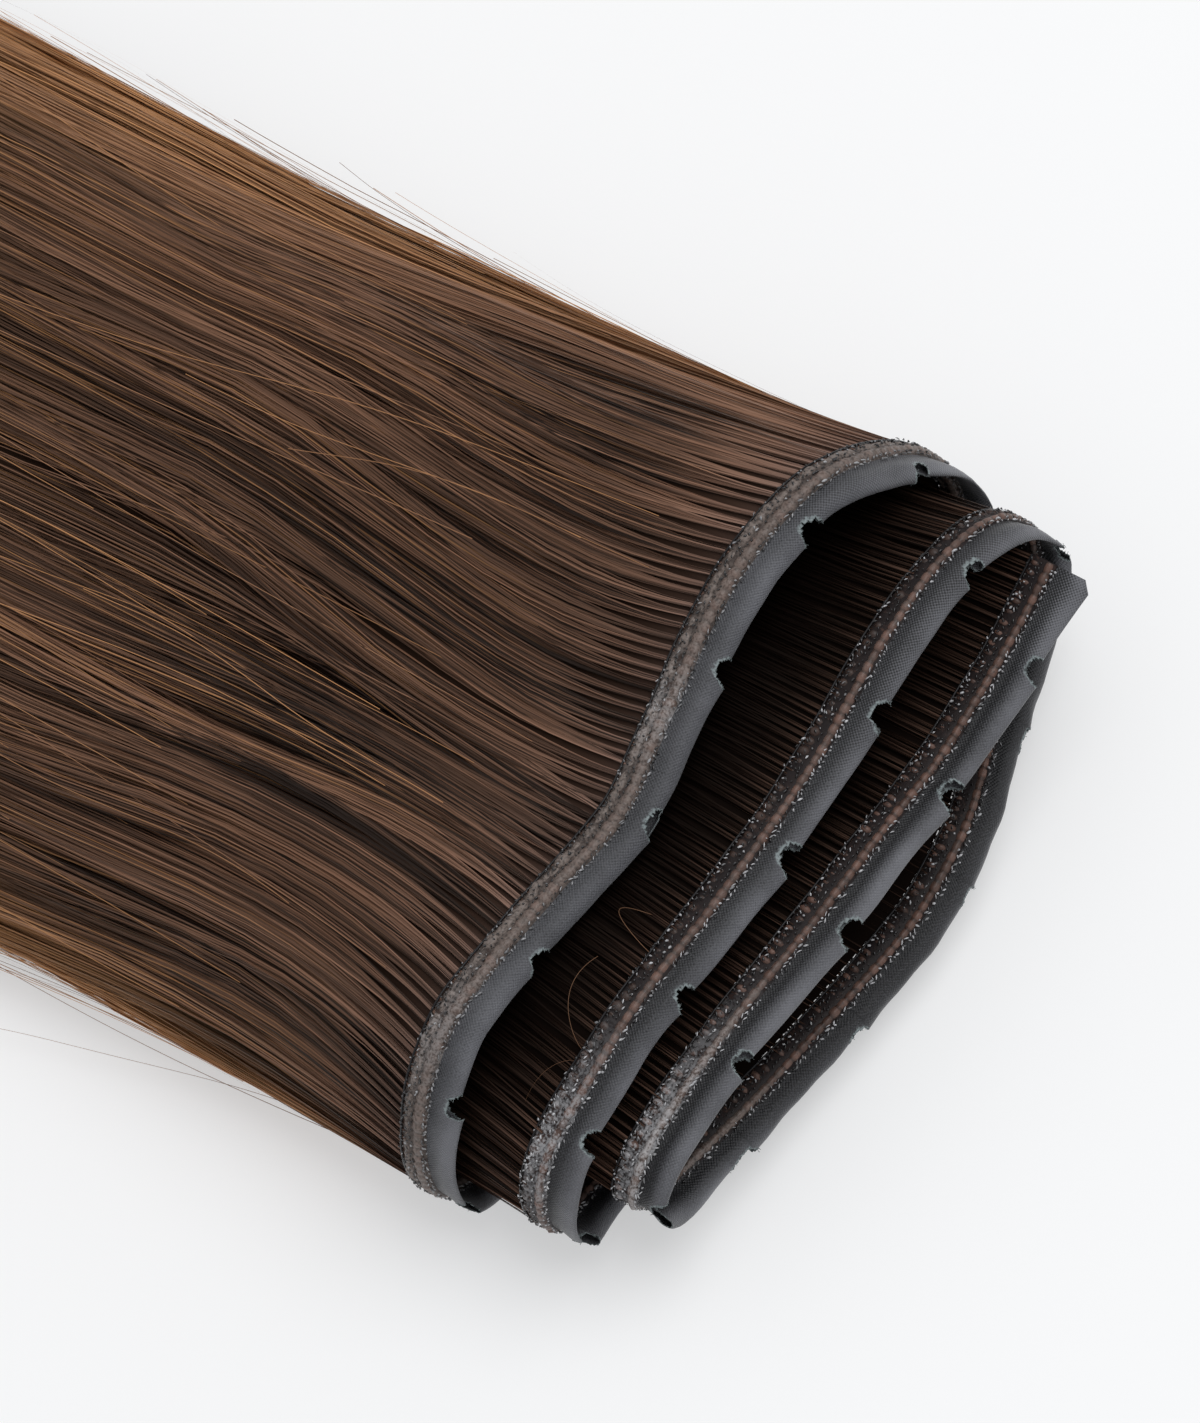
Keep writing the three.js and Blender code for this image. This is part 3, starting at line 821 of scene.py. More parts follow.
def band_veil_and_sheen(s):
    """How far the net cover hides the hair: little on most of the inner turn and most on the outer one,
    partly the net's cover and partly painted sheen, with a painted glare near the inner turn's left end.
    """
    painted_glare = smoothstep(s, 46, 66) * (1 - smoothstep(s, 96, 112))
    return 0.10 + 0.17 * smoothstep(s, 120, 200) + 0.31 * outer_turn(s) + 0.22 * painted_glare


def cord_veil(s):
    """The cord's share of the net cover, less from the second turn on."""
    return 1.4 - 0.65 * smoothstep(s, 120, 180)


def lump_tone(s):
    """How brown the row beside the hair is: dark thread hides it on the second turn."""
    return 1 - 0.85 * smoothstep(s, 130, 180) * (1 - smoothstep(s, 330, 400))


class WEFT_OT_stitched_band(bpy.types.Operator):
    """Build the band of gathered tufts beside the net tape"""

    bl_idname = "weft.stitched_band"
    bl_label = "Stitched band"

    def execute(self, context):
        settings = context.scene.weft_band
        rng = np.random.default_rng(23)
        width = settings.width / MM
        s = np.arange(0.0, STRIP.length, BACK_STEP)
        middle = BAND_EDGE - width / 2
        same = np.ones_like(s)
        points = sweep_oval(s, middle * same, width / 2 * same, BACK_HALF_THICK * same, BACK_SIDES)
        values = {"tone": rng.random(len(s)) * 0.3, "veil": 0.35 * outer_turn(s), "painted_glint": 0.6 * painted_glints(s)}
        looks = {key: np.repeat(value, BACK_SIDES) for key, value in values.items()}
        backing = covered_hair_material("band_backing", settings, 0.36, 0.06)
        faces = grid_faces(len(s), BACK_SIDES, closed=True)
        piece = make_piece("band_backing", points, faces, backing, looks)
        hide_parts("stitched_band")
        self.cord(settings, rng)
        self.lumps(settings, rng)
        self.edge_threads(settings, rng)
        return {"FINISHED"}

    def cord(self, settings, rng):
        """The raised cord row beside the tape, in brick-like lumps."""
        s = np.arange(0.05, STRIP.length - 0.05, CORD_STEP)
        brick = np.floor(s / CORD_PITCH).astype(int)
        size = rng.uniform(0.88, 1.10, brick.max() + 1)[brick]
        crown = np.abs(np.sin(math.pi * s / CORD_PITCH))
        pinch = 0.80 + 0.20 * crown ** 0.6
        out = CORD_OUT - 0.2 * outer_turn(s) + 0.05 * np.sin(s / 3.1)
        out = out + rng.normal(0, 0.02, brick.max() + 1)[brick]
        wide = (0.58 + 0.24 * outer_turn(s)) * size * pinch
        points = sweep_oval(s, out, wide, 0.84 * size * pinch, CORD_SIDES)
        tone = (rng.random(brick.max() + 1)[brick] * 0.7 + 0.35) * (0.1 + 0.9 * smoothstep(crown, 0.1, 0.7))
        veil = band_veil_and_sheen(s) * cord_veil(s)
        values = {"tone": tone, "veil": veil, "painted_glint": 0.6 * painted_glints(s)}
        looks = {key: np.repeat(value, CORD_SIDES) for key, value in values.items()}
        material = covered_hair_material("band_cord", settings, 0.10, 0.18)
        faces = grid_faces(len(s), CORD_SIDES, closed=True)
        make_piece("band_cord", points, faces, material, looks)

    def lumps(self, settings, rng):
        """One lump of gathered hair for each tuft in the row beside the hair."""
        pitch = settings.tuft_pitch / MM
        s = np.arange(pitch / 2, STRIP.length - pitch / 2, pitch)
        count = len(s)
        s = s + rng.normal(0, 0.13, count)
        polar = np.linspace(LUMP_POLE, math.pi - LUMP_POLE, LUMP_RINGS)
        angle = np.arange(LUMP_SIDES) * 2 * math.pi / LUMP_SIDES
        size = rng.uniform(0.62, 1.18, (count, 1, 1))
        full = (0.44 + 0.2 * smoothstep(s, 120, 200) + 0.6 * outer_turn(s))[:, None, None]
        run = full * size * np.sin(polar)[None, :, None] * np.cos(angle)[None, None]
        off = 0.76 * size * np.sin(polar)[None, :, None] * np.sin(angle)[None, None]
        middle = LUMP_OUT + rng.normal(0, 0.08, (count, 1, 1))
        out = middle + 0.70 * size * np.cos(polar)[None, :, None] * np.ones((count, 1, LUMP_SIDES))
        points = STRIP.band_point(s[:, None, None] + run, out, off).reshape(-1, 3)
        corners = LUMP_RINGS * LUMP_SIDES
        faces = repeat_faces(grid_faces(LUMP_RINGS, LUMP_SIDES, closed=True), count, corners)
        values = {
            "tone": rng.uniform(0.1, 1.0, count) * lump_tone(s),
            "veil": band_veil_and_sheen(s) * (0.45 + 0.55 * outer_turn(s)),
            "painted_glint": 0.7 * painted_glints(s),
        }
        looks = {key: np.repeat(value, corners) for key, value in values.items()}
        material = covered_hair_material("band_lumps", settings, 0.14, 0.16)
        make_piece("band_lumps", points, faces, material, looks)

    def edge_threads(self, settings, rng):
        """A black thread along the hair edge on each face."""
        s = np.arange(0.1, STRIP.length - 0.1, EDGE_STEP)
        wander = EDGE_OUT + 0.07 * np.sin(s / 4.3) + 0.05 * np.sin(s / 1.7 + 1.0)
        lines = [STRIP.band_point(s, wander, np.full_like(s, off)) for off in (EDGE_OFF, -EDGE_OFF)]
        points, faces = tubes(np.stack(lines), np.full(2, EDGE_RADIUS), 6)
        tone = np.zeros(len(points))
        material = thread_material("edge_thread", settings, 0.12)
        make_piece("edge_threads", points, faces, material, {"tone": tone})


# Columns: middle of the stitch out from the seam in mm, scatter, reach across, slant along the strip,
# height over the face, share of bright stitches on the inner turns and on the outer one.
STITCH_LINES = (
    (-0.16, 0.08, 0.13, 0.26, 0.36, 0.90, 0.85),
    (-0.42, 0.10, 0.12, 0.28, 0.58, 0.80, 0.75),
    (-1.78, 0.08, 0.08, 0.22, 0.66, 0.16, 0.14),
    (-2.35, 0.20, 0.12, 0.22, 0.74, 0.22, 0.16),
    (-2.80, 0.20, 0.12, 0.20, 0.72, 0.30, 0.20),
    (-3.22, 0.10, 0.12, 0.22, 0.44, 0.42, 0.32),
)
STITCH_TAPER = np.array([0.5, 1.0, 0.5])
STITCH_RADIUS = 0.125
STITCH_SIDES = 3
STITCH_SKIP = 0.16
CLUSTER_STEP = 2.6


def bright_share(rng, s, inner, outer):
    """Share of bright stitches at distances s, gathered in clusters, with more bright stitches painted in at
    the glints.
    """
    knots = np.arange(0.0, STRIP.length + CLUSTER_STEP, CLUSTER_STEP)
    cluster = np.interp(s, knots, rng.random(len(knots)))
    share = inner + (outer - inner) * smoothstep(s, OUTER_FROM, OUTER_FROM + 40)
    # The glints add painted highlight stitches on top of the clustered share.
    return share * (0.45 + 1.1 * cluster) + 0.6 * painted_glints(s)


class WEFT_OT_stitches(bpy.types.Operator):
    """Sew the rows of glossy stitches over both faces of the band"""

    bl_idname = "weft.stitches"
    bl_label = "Stitches"

    def execute(self, context):
        settings = context.scene.weft_band
        rng = np.random.default_rng(37)
        pitch = settings.stitch_pitch / MM
        stations = len(STITCH_TAPER)
        t = np.linspace(-1.0, 1.0, stations)[None]
        paths, shine = [], []
        for out, scatter, reach, slant, height, inner, outer in STITCH_LINES:
            s = np.arange(pitch, STRIP.length - pitch, pitch)
            for face in (1.0, -1.0):
                start = (s + rng.normal(0, 0.12, len(s)))[rng.random(len(s)) > STITCH_SKIP]
                count = len(start)
                run = start[:, None] + slant * rng.uniform(-1.0, 1.0, count)[:, None] * t
                across = out + rng.normal(0, scatter, count)[:, None]
                across = across + reach * t * rng.uniform(0.5, 1.3, count)[:, None]
                lift = height + 0.06 * (1 - t ** 2) * rng.uniform(0.4, 1.2, count)[:, None]
                paths.append(STRIP.band_point(run, across, face * lift))
                bright = rng.random(count) < bright_share(rng, start, inner, outer)
                shine.append(bright * rng.uniform(0.2, 1.0, count) * (1 - 0.35 * outer_turn(start)))
        paths = np.concatenate(paths)
        thick = rng.uniform(0.5, 1.4, len(paths))[:, None] * STITCH_RADIUS * STITCH_TAPER[None]
        points, faces = tubes(paths, thick, STITCH_SIDES)
        tone = np.repeat(np.concatenate(shine), stations * STITCH_SIDES)
        material = thread_material("sewing_thread", settings, 0.5)
        make_piece("stitches", points, faces, material, {"tone": tone})
        return {"FINISHED"}


def thread_material(name, settings, gloss):
    """Smooth nylon thread, from nearly black to bright grey."""
    shader = Shader(name, Specular_IOR_Level=gloss, Coat_Weight=gloss, Coat_Roughness=0.1)
    tone = shader.attribute("tone")
    fine = shader.noise(object_place(shader), 3000.0, 1.0)
    shade = shader.mix(tone, tuple(settings.cover), tuple(settings.thread))
    shader.feed(Base_Color=shader.mix(fine * 0.35, shade, tuple(settings.cover)))
    shader.feed(Roughness=0.22 + fine * 0.16)
    return shader.material


# Hair

CURTAIN_END_Y = 74.0
CORE_START_Y = 50.0
CORE_END_Y = 330.0
CORE_POWER = 2.6
CORE_INSET = 2.6
CORE_RINGS = 48
CORE_SIDES = 96
CORE_TAPER_FROM = 262.0
BODY_STATIONS = 420
BODY_RUNS = np.array([0.1, 2, 4, 8, 14, 22, 32, 45, 62])

# How the hair leaves the band and joins the bundle: runs over which it settles and heights in mm, and slopes
PULL_RUN = 40.0
PULL_CENTRE = 3.0
LEFT_PULL = 0.004
RIGHT_PULL = 0.0034
RISE_RUN = 12.0
BUNDLE_LOW = 0.8
BUNDLE_RISE = 25.0
BUNDLE_TOP = 32.0
BUNDLE_POWER = 0.82


def core_half_width(y):
    """Half width of the bundle at y, in mm."""
    return 47.5 + 2.5 * smoothstep(y, 40, 130) - 12 * smoothstep(y, 190, 350)


def core_half_height(y):
    """Half height of the bundle at y, in mm."""
    return 15 - 2 * smoothstep(y, 60, 160) - 7 * smoothstep(y, 180, 350)


def core_middle(y):
    """Height of the bundle's middle at y, in mm."""
    return 10.8 - 6 * smoothstep(y, 140, 340)


def core_drift(y):
    """Sideways place of the bundle's middle at y, in mm."""
    return -11 + 5 * smoothstep(y, 60, 340)


def sideways(x, z):
    """Slope toward the bundle's middle as the hair leaves the band."""
    pull = (PULL_CENTRE - x) * np.where(x < PULL_CENTRE, LEFT_PULL, RIGHT_PULL)
    return pull * (-0.35 + 1.35 * np.minimum(z / BUNDLE_RISE, 1))


def hair_sheet(s, run):
    """A place on the curtain of hair: distance along the strip, and run from the band toward the tips."""
    root = STRIP.band_point(s, np.full_like(s, ROOT_OUT), np.zeros_like(s))
    _, outward, _ = STRIP.band_axes(s)
    x0, y0, z0 = root[..., 0], root[..., 1], root[..., 2]
    reach = CURTAIN_END_Y - y0
    near = np.minimum(run, reach)
    ease = smoothstep(near / reach, 0.0, 1.0)
    rise = -outward[..., 2] * RISE_RUN
    bundle = BUNDLE_LOW + BUNDLE_RISE * (np.maximum(z0, 0) / BUNDLE_TOP) ** BUNDLE_POWER
    x = x0 + sideways(x0, z0) * PULL_RUN * (1 - np.exp(-near / PULL_RUN))
    z = z0 + rise * (1 - np.exp(-near / RISE_RUN)) + (bundle - z0 - rise) * ease
    y = y0 + run
    far = np.maximum(y, CURTAIN_END_Y)
    wide = core_half_width(far) / core_half_width(CURTAIN_END_Y)
    high = core_half_height(far) / core_half_height(CURTAIN_END_Y)
    x = core_drift(far) + (x - core_drift(CURTAIN_END_Y)) * wide
    z = core_middle(far) + (z - core_middle(CURTAIN_END_Y)) * high
    return np.stack([x, y, z], axis=-1)


def sheet_normal(s, run):
    """Outward normal of the curtain of hair."""
    step = 0.4
    along_s = hair_sheet(s + step, run) - hair_sheet(s - step, run)
    along_run = hair_sheet(s, run + step) - hair_sheet(s, np.maximum(run - step, 0))
    return unit(np.cross(along_run, along_s))


def ashen(run):
    """How ashen the hair is at a run from the band."""
    return np.exp(-np.maximum(run, 0.0) / 6.0)


def hair_material(name, settings, streak, gloss, depth=1.0):
    """Smooth hair: dark, brown and gold strands, streaked where one surface stands for many; depth darkens
    the dark colour as painted shade.
    """
    shader = Shader(name, Specular_IOR_Level=gloss, Specular_Tint=(1.0, 0.82, 0.68, 1.0))
    tone = shader.attribute("tone")
    gold = shader.attribute("gold")
    place = object_place(shader)
    grain = shader.noise(shader.stretched(place, (1.0, 0.03, 1.0)), streak, 3.0)
    # Painted shade: depth scales the darkest colour down for hair lying in the shade of the mass.
    dark = tuple(c * depth for c in settings.dark)
    light = shader.mix(shader.attribute("ash"), tuple(settings.mid), tuple(settings.root))
    shade = shader.mix(tone * (0.35 + grain * 1.3), dark, light)
    shader.feed(Base_Color=shader.mix(gold, shade, tuple(settings.gold)))
    shader.feed(Roughness=0.42 + grain * 0.2)
    return shader.material


class WEFT_OT_hair_body(bpy.types.Operator):
    """Build the dark under layer of the hair: the rolled curtain and the bundle, painted dark as shade
    beneath the strands
    """

    bl_idname = "weft.hair_body"
    bl_label = "Hair body"

    def execute(self, context):
        settings = context.scene.weft_hair
        s = np.linspace(0.0, STRIP.length, BODY_STATIONS)
        stations, lengths = np.meshgrid(s, BODY_RUNS, indexing="ij")
        curtain = hair_sheet(stations, lengths)
        inset = 0.35 + 0.9 * smoothstep(lengths, 4, 40)
        curtain = curtain - sheet_normal(stations, lengths) * inset[..., None]
        core = self.core()
        offset = BODY_STATIONS * len(BODY_RUNS)
        points = np.concatenate([curtain.reshape(-1, 3), core.reshape(-1, 3)])
        curtain_faces = grid_faces(BODY_STATIONS, len(BODY_RUNS))
        core_faces = grid_faces(CORE_RINGS, CORE_SIDES, closed=True)
        faces = np.concatenate([curtain_faces, core_faces + offset])
        # Painted shade: the under layer is darkened as the shade under the strands, darkest on the inner
        # turns.
        material = hair_material("hair_under", settings, 900.0, 0.03, 0.4)
        under_top = (outer_turn(stations) * (0.07 + 0.15 * ashen(lengths))).ravel()
        core_y = core[..., 1].ravel()
        tone = np.concatenate([under_top, 0.07 + 0.28 * smoothstep(core_y, 90, 220)])
        ash = np.concatenate([ashen(lengths).ravel(), np.zeros(len(points) - offset)])
        gold = 0.20 * smoothstep(points[:, 1], 90, 330)
        looks = {"tone": tone, "gold": gold, "ash": ash}
        piece = make_piece("hair_body", points, faces, material, looks)
        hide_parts("hair")
        return {"FINISHED"}

    def core(self):
        """Rings of the bundle's core, kept inside the strands and thinner toward the tips."""
        y = np.linspace(CORE_START_Y, CORE_END_Y, CORE_RINGS)
        angle = np.arange(CORE_SIDES) * 2 * math.pi / CORE_SIDES
        across = np.sign(np.cos(angle)) * np.abs(np.cos(angle)) ** (2 / CORE_POWER)
        height = np.sign(np.sin(angle)) * np.abs(np.sin(angle)) ** (2 / CORE_POWER)
        taper = smoothstep(y, CORE_TAPER_FROM, CORE_END_Y)
        wide = (core_half_width(y) - CORE_INSET) * (1 - 0.12 * taper)
        high = (core_half_height(y) - CORE_INSET) * (1 - 0.75 * taper)
        return np.stack([
            core_drift(y)[:, None] + wide[:, None] * across[None],
            np.repeat(y[:, None], CORE_SIDES, axis=1),
            np.maximum(core_middle(y)[:, None] + high[:, None] * height[None], 0.35),
        ], axis=-1)


# Run of each station of a full strand from the band, in mm; past FIXED_RUN they stretch to the strand's tip
FIXED_RUN = 150.0
STRAND_RUNS = np.concatenate([
    [-0.9, 0.4, 1.8, 3.6, 6.0, 9.0, 13.0, 18.0, 24.0],
    np.arange(32.0, FIXED_RUN, 10.0),
    [FIXED_RUN, 185.0, 235.0, 295.0, 355.0, 400.0],
])
STRAND_PIECES = 5
TIP_SPREAD = 0.13
LOCK_LENGTH = 4.5
FOLD_TO = 545.0
TABLE_CLEARANCE = 0.25


class Locks:
    """Slow waves shared by the strands of one lock, with the amplitudes and lengths of each."""

    def __init__(self, rng, count, sway, lift, shortest, longest):
        self.sway = rng.uniform(0.3, 1.0, count) * sway
        self.lift = rng.uniform(0.2, 1.0, count) * lift
        self.wave = rng.uniform(shortest, longest, (count, 2))
        self.phase = rng.uniform(0, 2 * math.pi, (count, 3))
        self.drift = rng.normal(0, 1.0, count)

    def along(self, index, run):
        """Sway along the strip of the locks of that index."""
        w, p = self.wave[index], self.phase[index]
        slow = np.sin(2 * math.pi * run / w[:, :1] + p[:, :1])
        slower = np.sin(2 * math.pi * run / (w[:, 1:] * 1.9) + p[:, 1:2])
        return self.sway[index][:, None] * (slow * 0.55 + slower)

    def off(self, index, run):
        """Lift off the surface of the locks of that index."""
        w, p = self.wave[index], self.phase[index]
        return self.lift[index][:, None] * np.sin(2 * math.pi * run / (w[:, 1:] * 1.3) + p[:, 2:])


# Flow of the top layer, positive to the left fold. Columns: middle of the group in mm along the strip, half
# width, first lean and how soon it fades, later shift and the runs between which it grows.
FLOWS = (
    (392.0, 26.0, 2.6, 22.0, 0.5, 20.0, 90.0),
    (438.0, 20.0, 1.9, 7.0, -8.5, 9.0, 66.0),
    (486.0, 22.0, -1.0, 9.0, 6.5, 14.0, 80.0),
)


def flow_shift(s, run):
    """Shift along the strip of a strand rooted at s, which bends the top layer into slow curves."""
    shift = np.zeros_like(run)
    weight = np.zeros_like(s)
    for middle, half, lean, fade, later, start, end in FLOWS:
        share = np.exp(-((s - middle) / half) ** 2)
        weight = weight + share
        bend = lean * (1 - np.exp(-run / fade)) + later * smoothstep(run, start, end)
        shift = shift + share[:, None] * bend
    return shift / np.maximum(weight, 0.6)[:, None]


# Painted light and painted shade on the top layer: lighter and darker groups of strands, the lightest a
# painted highlight where the hair bends near the band. Columns: place along the strip and half width,
# run from the band and half width, all in mm, and the change of tone.
PAINTED_LIGHT_GROUPS = (
    (408.0, 13.0, 2.0, 9.0, 0.85),
    (413.0, 16.0, 66.0, 36.0, 0.46),
    (459.0, 9.0, 34.0, 16.0, -0.22),
    (471.0, 9.0, 56.0, 20.0, 0.26),
)


# Painted glow: gold painted at the two outlines of the bundle, where light would show through the hair.
# Columns: place along the strip and half width in mm, growth of the half width for each mm of run, and
# strength.
PAINTED_GLOW_RIMS = (
    (385.0, 5.0, 0.11, 0.75),
    (509.0, 5.0, 0.05, 0.85),
)


def painted_rim_glow(seats, roots):
    """How much painted glow of gold the hair gets near the two outlines of the bundle."""
    rim = np.zeros_like(roots)
    for middle, half, growth, strength in PAINTED_GLOW_RIMS:
        reach = half + growth * np.maximum(roots, 0.0)
        rim = rim + strength * np.exp(-((seats - middle) / reach) ** 2)
    return rim * smoothstep(roots, 0.0, 18.0)


def strand_colours(rng, tuft_tone, paths, roots, seats):
    """Tone and gold of each point: per strand, with painted light and shade on groups of strands, a painted
    glow of gold at the outlines and more gold toward the tips.
    """
    count = len(paths)
    tone = (tuft_tone + rng.normal(0, 0.26, count))[:, None] * np.ones_like(roots)
    for middle, half, run, reach, change in PAINTED_LIGHT_GROUPS:
        tone = tone + change * np.exp(-((seats - middle) / half) ** 2 - ((roots - run) / reach) ** 2)
    tone = np.clip(tone, 0.24 * smoothstep(roots, 30.0, 90.0), 1.25)
    y = paths[..., 1]
    far = smoothstep(y, 60, 330)
    streak = (rng.random(count)[:, None] < 0.06 + 0.10 * smoothstep(y, 40, 110)) * 0.42
    # The gold holds a painted glow at the outlines; the gold toward the tips and in streaks is the hair's
    # own.
    gold = np.clip(painted_rim_glow(seats, roots) + 0.28 * far + streak * smoothstep(y, 5, 40), 0, 0.9)
    root_dark = 1.12 - 0.12 * smoothstep(roots, 0.5, 14.0)
    return tone * root_dark, gold * rng.uniform(0.55, 1.1, count)[:, None]


def lock_ends(lock_of_tuft, tufts):
    """Where each tuft's lock begins and ends along the strip."""
    first = np.array([tufts[lock_of_tuft == k].min() for k in range(lock_of_tuft.max() + 1)])
    last = np.array([tufts[lock_of_tuft == k].max() for k in range(lock_of_tuft.max() + 1)])
    return first[lock_of_tuft], last[lock_of_tuft]


class WEFT_OT_hair_strands(bpy.types.Operator):
    """Grow the outer strands from their tufts out to the tips"""

    bl_idname = "weft.hair_strands"
    bl_label = "Outer strands"

    def execute(self, context):
        settings = context.scene.weft_hair
        pitch = context.scene.weft_band.tuft_pitch / MM
        tufts = np.arange(OUTER_FROM, STRIP.length - pitch / 2, pitch)
        tufts = tufts + np.random.default_rng(59).normal(0, 0.13, len(tufts))
        per_tuft = np.where(tufts < UNDER_FROM, settings.per_tuft, settings.per_tuft // 4)
        fold = tufts[(tufts > UNDER_FROM) & (tufts < FOLD_TO)]
        per_fold_tuft = np.full(len(fold), settings.per_tuft * 2 // 3)
        parts = self.grow(settings, pitch, np.random.default_rng(53), tufts, per_tuft, STRAND_PIECES)
        parts += self.grow(settings, pitch, np.random.default_rng(61), fold, per_fold_tuft, 1)
        material = hair_material("hair_strand", settings, 300.0, 0.22)
        for number, (points, faces, looks) in enumerate(parts):
            make_piece(f"hair_strands_{number}", points, faces, material, looks)
        return {"FINISHED"}

    def grow(self, settings, pitch, rng, tufts, per_tuft, pieces):
        """Strands of a row of tufts, shared out over a number of pieces: points, faces and looks of each."""
        index = np.repeat(np.arange(len(tufts)), per_tuft)
        count = len(index)
        lock_of_tuft = np.cumsum(rng.random(len(tufts)) < pitch / LOCK_LENGTH)
        lock_of_tuft = lock_of_tuft - lock_of_tuft.min()
        locks = Locks(rng, lock_of_tuft.max() + 1, 1.5, 0.9, 65.0, 130.0)
        tuft_waves = Locks(rng, len(tufts), 0.45, 0.35, 45.0, 90.0)
        own_waves = Locks(rng, count, 0.28, 0.22, 32.0, 80.0)
        tuft_tone = 0.46 + 0.20 * locks.drift[lock_of_tuft] + rng.normal(0, 0.12, len(tufts))
        tuft_tone = np.clip(tuft_tone, 0.04, 1.0)

        length = settings.length / MM * (1 - TIP_SPREAD * rng.random(count) ** 1.8)
        stretch = (length - FIXED_RUN) / (STRAND_RUNS[-1] - FIXED_RUN)
        run = np.where(
            STRAND_RUNS[None] <= FIXED_RUN,
            STRAND_RUNS[None],
            FIXED_RUN + (STRAND_RUNS[None] - FIXED_RUN) * stretch[:, None],
        )
        spread = 0.40 + 0.85 * smoothstep(run, 1.0, 16.0)
        loose = smoothstep(run, 6.0, 48.0)
        seat = rng.uniform(-0.5, 0.5, count)[:, None] * pitch * spread
        sway = locks.along(lock_of_tuft[index], run) + tuft_waves.along(index, run)
        sway = sway + own_waves.along(np.arange(count), run)
        cross = rng.normal(0, 0.012, count)[:, None] * np.maximum(run - 10, 0)
        straggle = rng.normal(0, 5.0, lock_of_tuft.max() + 1)[lock_of_tuft[index]]
        straggle = straggle + rng.normal(0, 2.5, count)
        flow = flow_shift(tufts[index] + straggle, np.maximum(run, 0))
        s = tufts[index][:, None] + seat + loose * sway + cross + flow
        s = np.clip(s, OUTER_FROM - 8, STRIP.length)
        first, last = lock_ends(lock_of_tuft, tufts)
        within = (tufts[index] + seat[:, 0] - first[index]) / (last - first + pitch)[index] - 0.5
        depth = rng.beta(1.3, 2.2, count)[:, None]
        off = 0.30 - 0.75 * depth - loose * (1.8 * depth - 0.9 + 1.5 * (2 * within[:, None]) ** 2)
        off = off + loose * (locks.off(lock_of_tuft[index], run) + tuft_waves.off(index, run))
        normal = sheet_normal(s, np.maximum(run, 0.0))
        paths = hair_sheet(s, run) + normal * off[..., None]
        paths[..., 2] = np.maximum(paths[..., 2], TABLE_CLEARANCE)
        taper = 1 - 0.6 * smoothstep(run / length[:, None], 0.8, 1.0)
        widths = settings.strand / MM * rng.uniform(0.75, 1.2, count)[:, None] * taper
        rolls = rng.normal(0, 0.55, count)
        # Painted shade: strands lying deeper in the layer are given a darker tone.
        tone, gold = strand_colours(rng, tuft_tone[index] - 0.45 * depth[:, 0], paths, run, s)
        values = {"tone": tone, "gold": gold, "ash": ashen(run)}
        parts = []
        for chosen in np.array_split(rng.permutation(count), pieces):
            points, faces = ribbons(paths[chosen], widths[chosen], normal[chosen], rolls[chosen])
            looks = {key: np.repeat(value[chosen].ravel(), 2) for key, value in values.items()}
            parts.append((points, faces, looks))
        return parts


INNER_PITCH_SHARE = 0.75
# Run from the band in mm over which painted shade darkens the inner strands.
INNER_PAINTED_SHADE_RUN = 2.3
# Painted light inside the roll: places where painted light reaches further in and the hair is painted
# lighter.
# Columns: place along the strip, half width and longer reach, in mm, and how much lighter the hair is there.
INNER_PAINTED_LIGHT = (
    (4.0, 18.0, 3.0, 0.3),
    (90.0, 16.0, 8.0, 1.2),
    (176.0, 18.0, 3.0, 0.3),
    (286.0, 16.0, 9.0, 2.0),
)
INNER_RUNS = np.array([-0.9, 0.5, 2.0, 4.0, 7.0, 11.0, 17.0, 25.0, 36.0, 50.0])


class WEFT_OT_inner_strands(bpy.types.Operator):
    """Grow the short visible part of the strands inside the roll, darkened by painted shade away from the
    band
    """

    bl_idname = "weft.inner_strands"
    bl_label = "Inner strands"

    def execute(self, context):
        settings = context.scene.weft_hair
        pitch = context.scene.weft_band.tuft_pitch / MM * INNER_PITCH_SHARE
        rng = np.random.default_rng(71)
        tufts = np.arange(pitch / 2, OUTER_FROM, pitch)
        tufts = tufts + rng.normal(0, 0.14, len(tufts))
        index = np.repeat(np.arange(len(tufts)), settings.per_inner_tuft)
        count = len(index)
        run = np.repeat(INNER_RUNS[None], count, axis=0)
        spread = 0.52 + 0.65 * smoothstep(run, 1.0, 10.0)
        seat = rng.uniform(-0.5, 0.5, count)[:, None] * pitch * spread
        cross = rng.normal(0, 0.018, count)[:, None] * np.maximum(run - 4, 0)
        s = np.clip(tufts[index][:, None] + seat + cross, 0.0, OUTER_FROM)
        off = rng.normal(0, 0.22, count)[:, None] * (1 + smoothstep(run, 3, 30))
        lengths = np.maximum(run, 0.0)
        normal = sheet_normal(s, lengths)
        paths = hair_sheet(s, run) + normal * off[..., None]
        paths[..., 2] = np.maximum(paths[..., 2], TABLE_CLEARANCE)
        widths = settings.strand / MM * rng.uniform(0.75, 1.2, count)[:, None] * np.ones_like(run)
        rolls = rng.normal(0, 0.6, count)
        points, faces = ribbons(paths, widths, normal, rolls)
        reach = np.full(count, INNER_PAINTED_SHADE_RUN)
        gain = np.ones(count)
        for middle, half, longer, lighter in INNER_PAINTED_LIGHT:
            near = np.exp(-((tufts[index] - middle) / half) ** 2)
            reach = reach + longer * near
            gain = gain + lighter * near
        # Painted shade: inner strands darken with run from the band, less where the painted light reaches
        # further.
        fade = 0.015 + 0.985 * np.exp(-(lengths / reach[:, None]) ** 1.3)
        own = np.clip(rng.normal(0.14, 0.10, count), 0, 1) * gain
        tone = np.repeat((own[:, None] * fade).ravel(), 2)
        material = hair_material("hair_inner", settings, 300.0, 0.06, 0.35)
        looks = {"tone": tone, "gold": np.zeros(len(points)), "ash": np.full(len(points), 0.6)}
        make_piece("hair_inner", points, faces, material, looks)
        return {"FINISHED"}


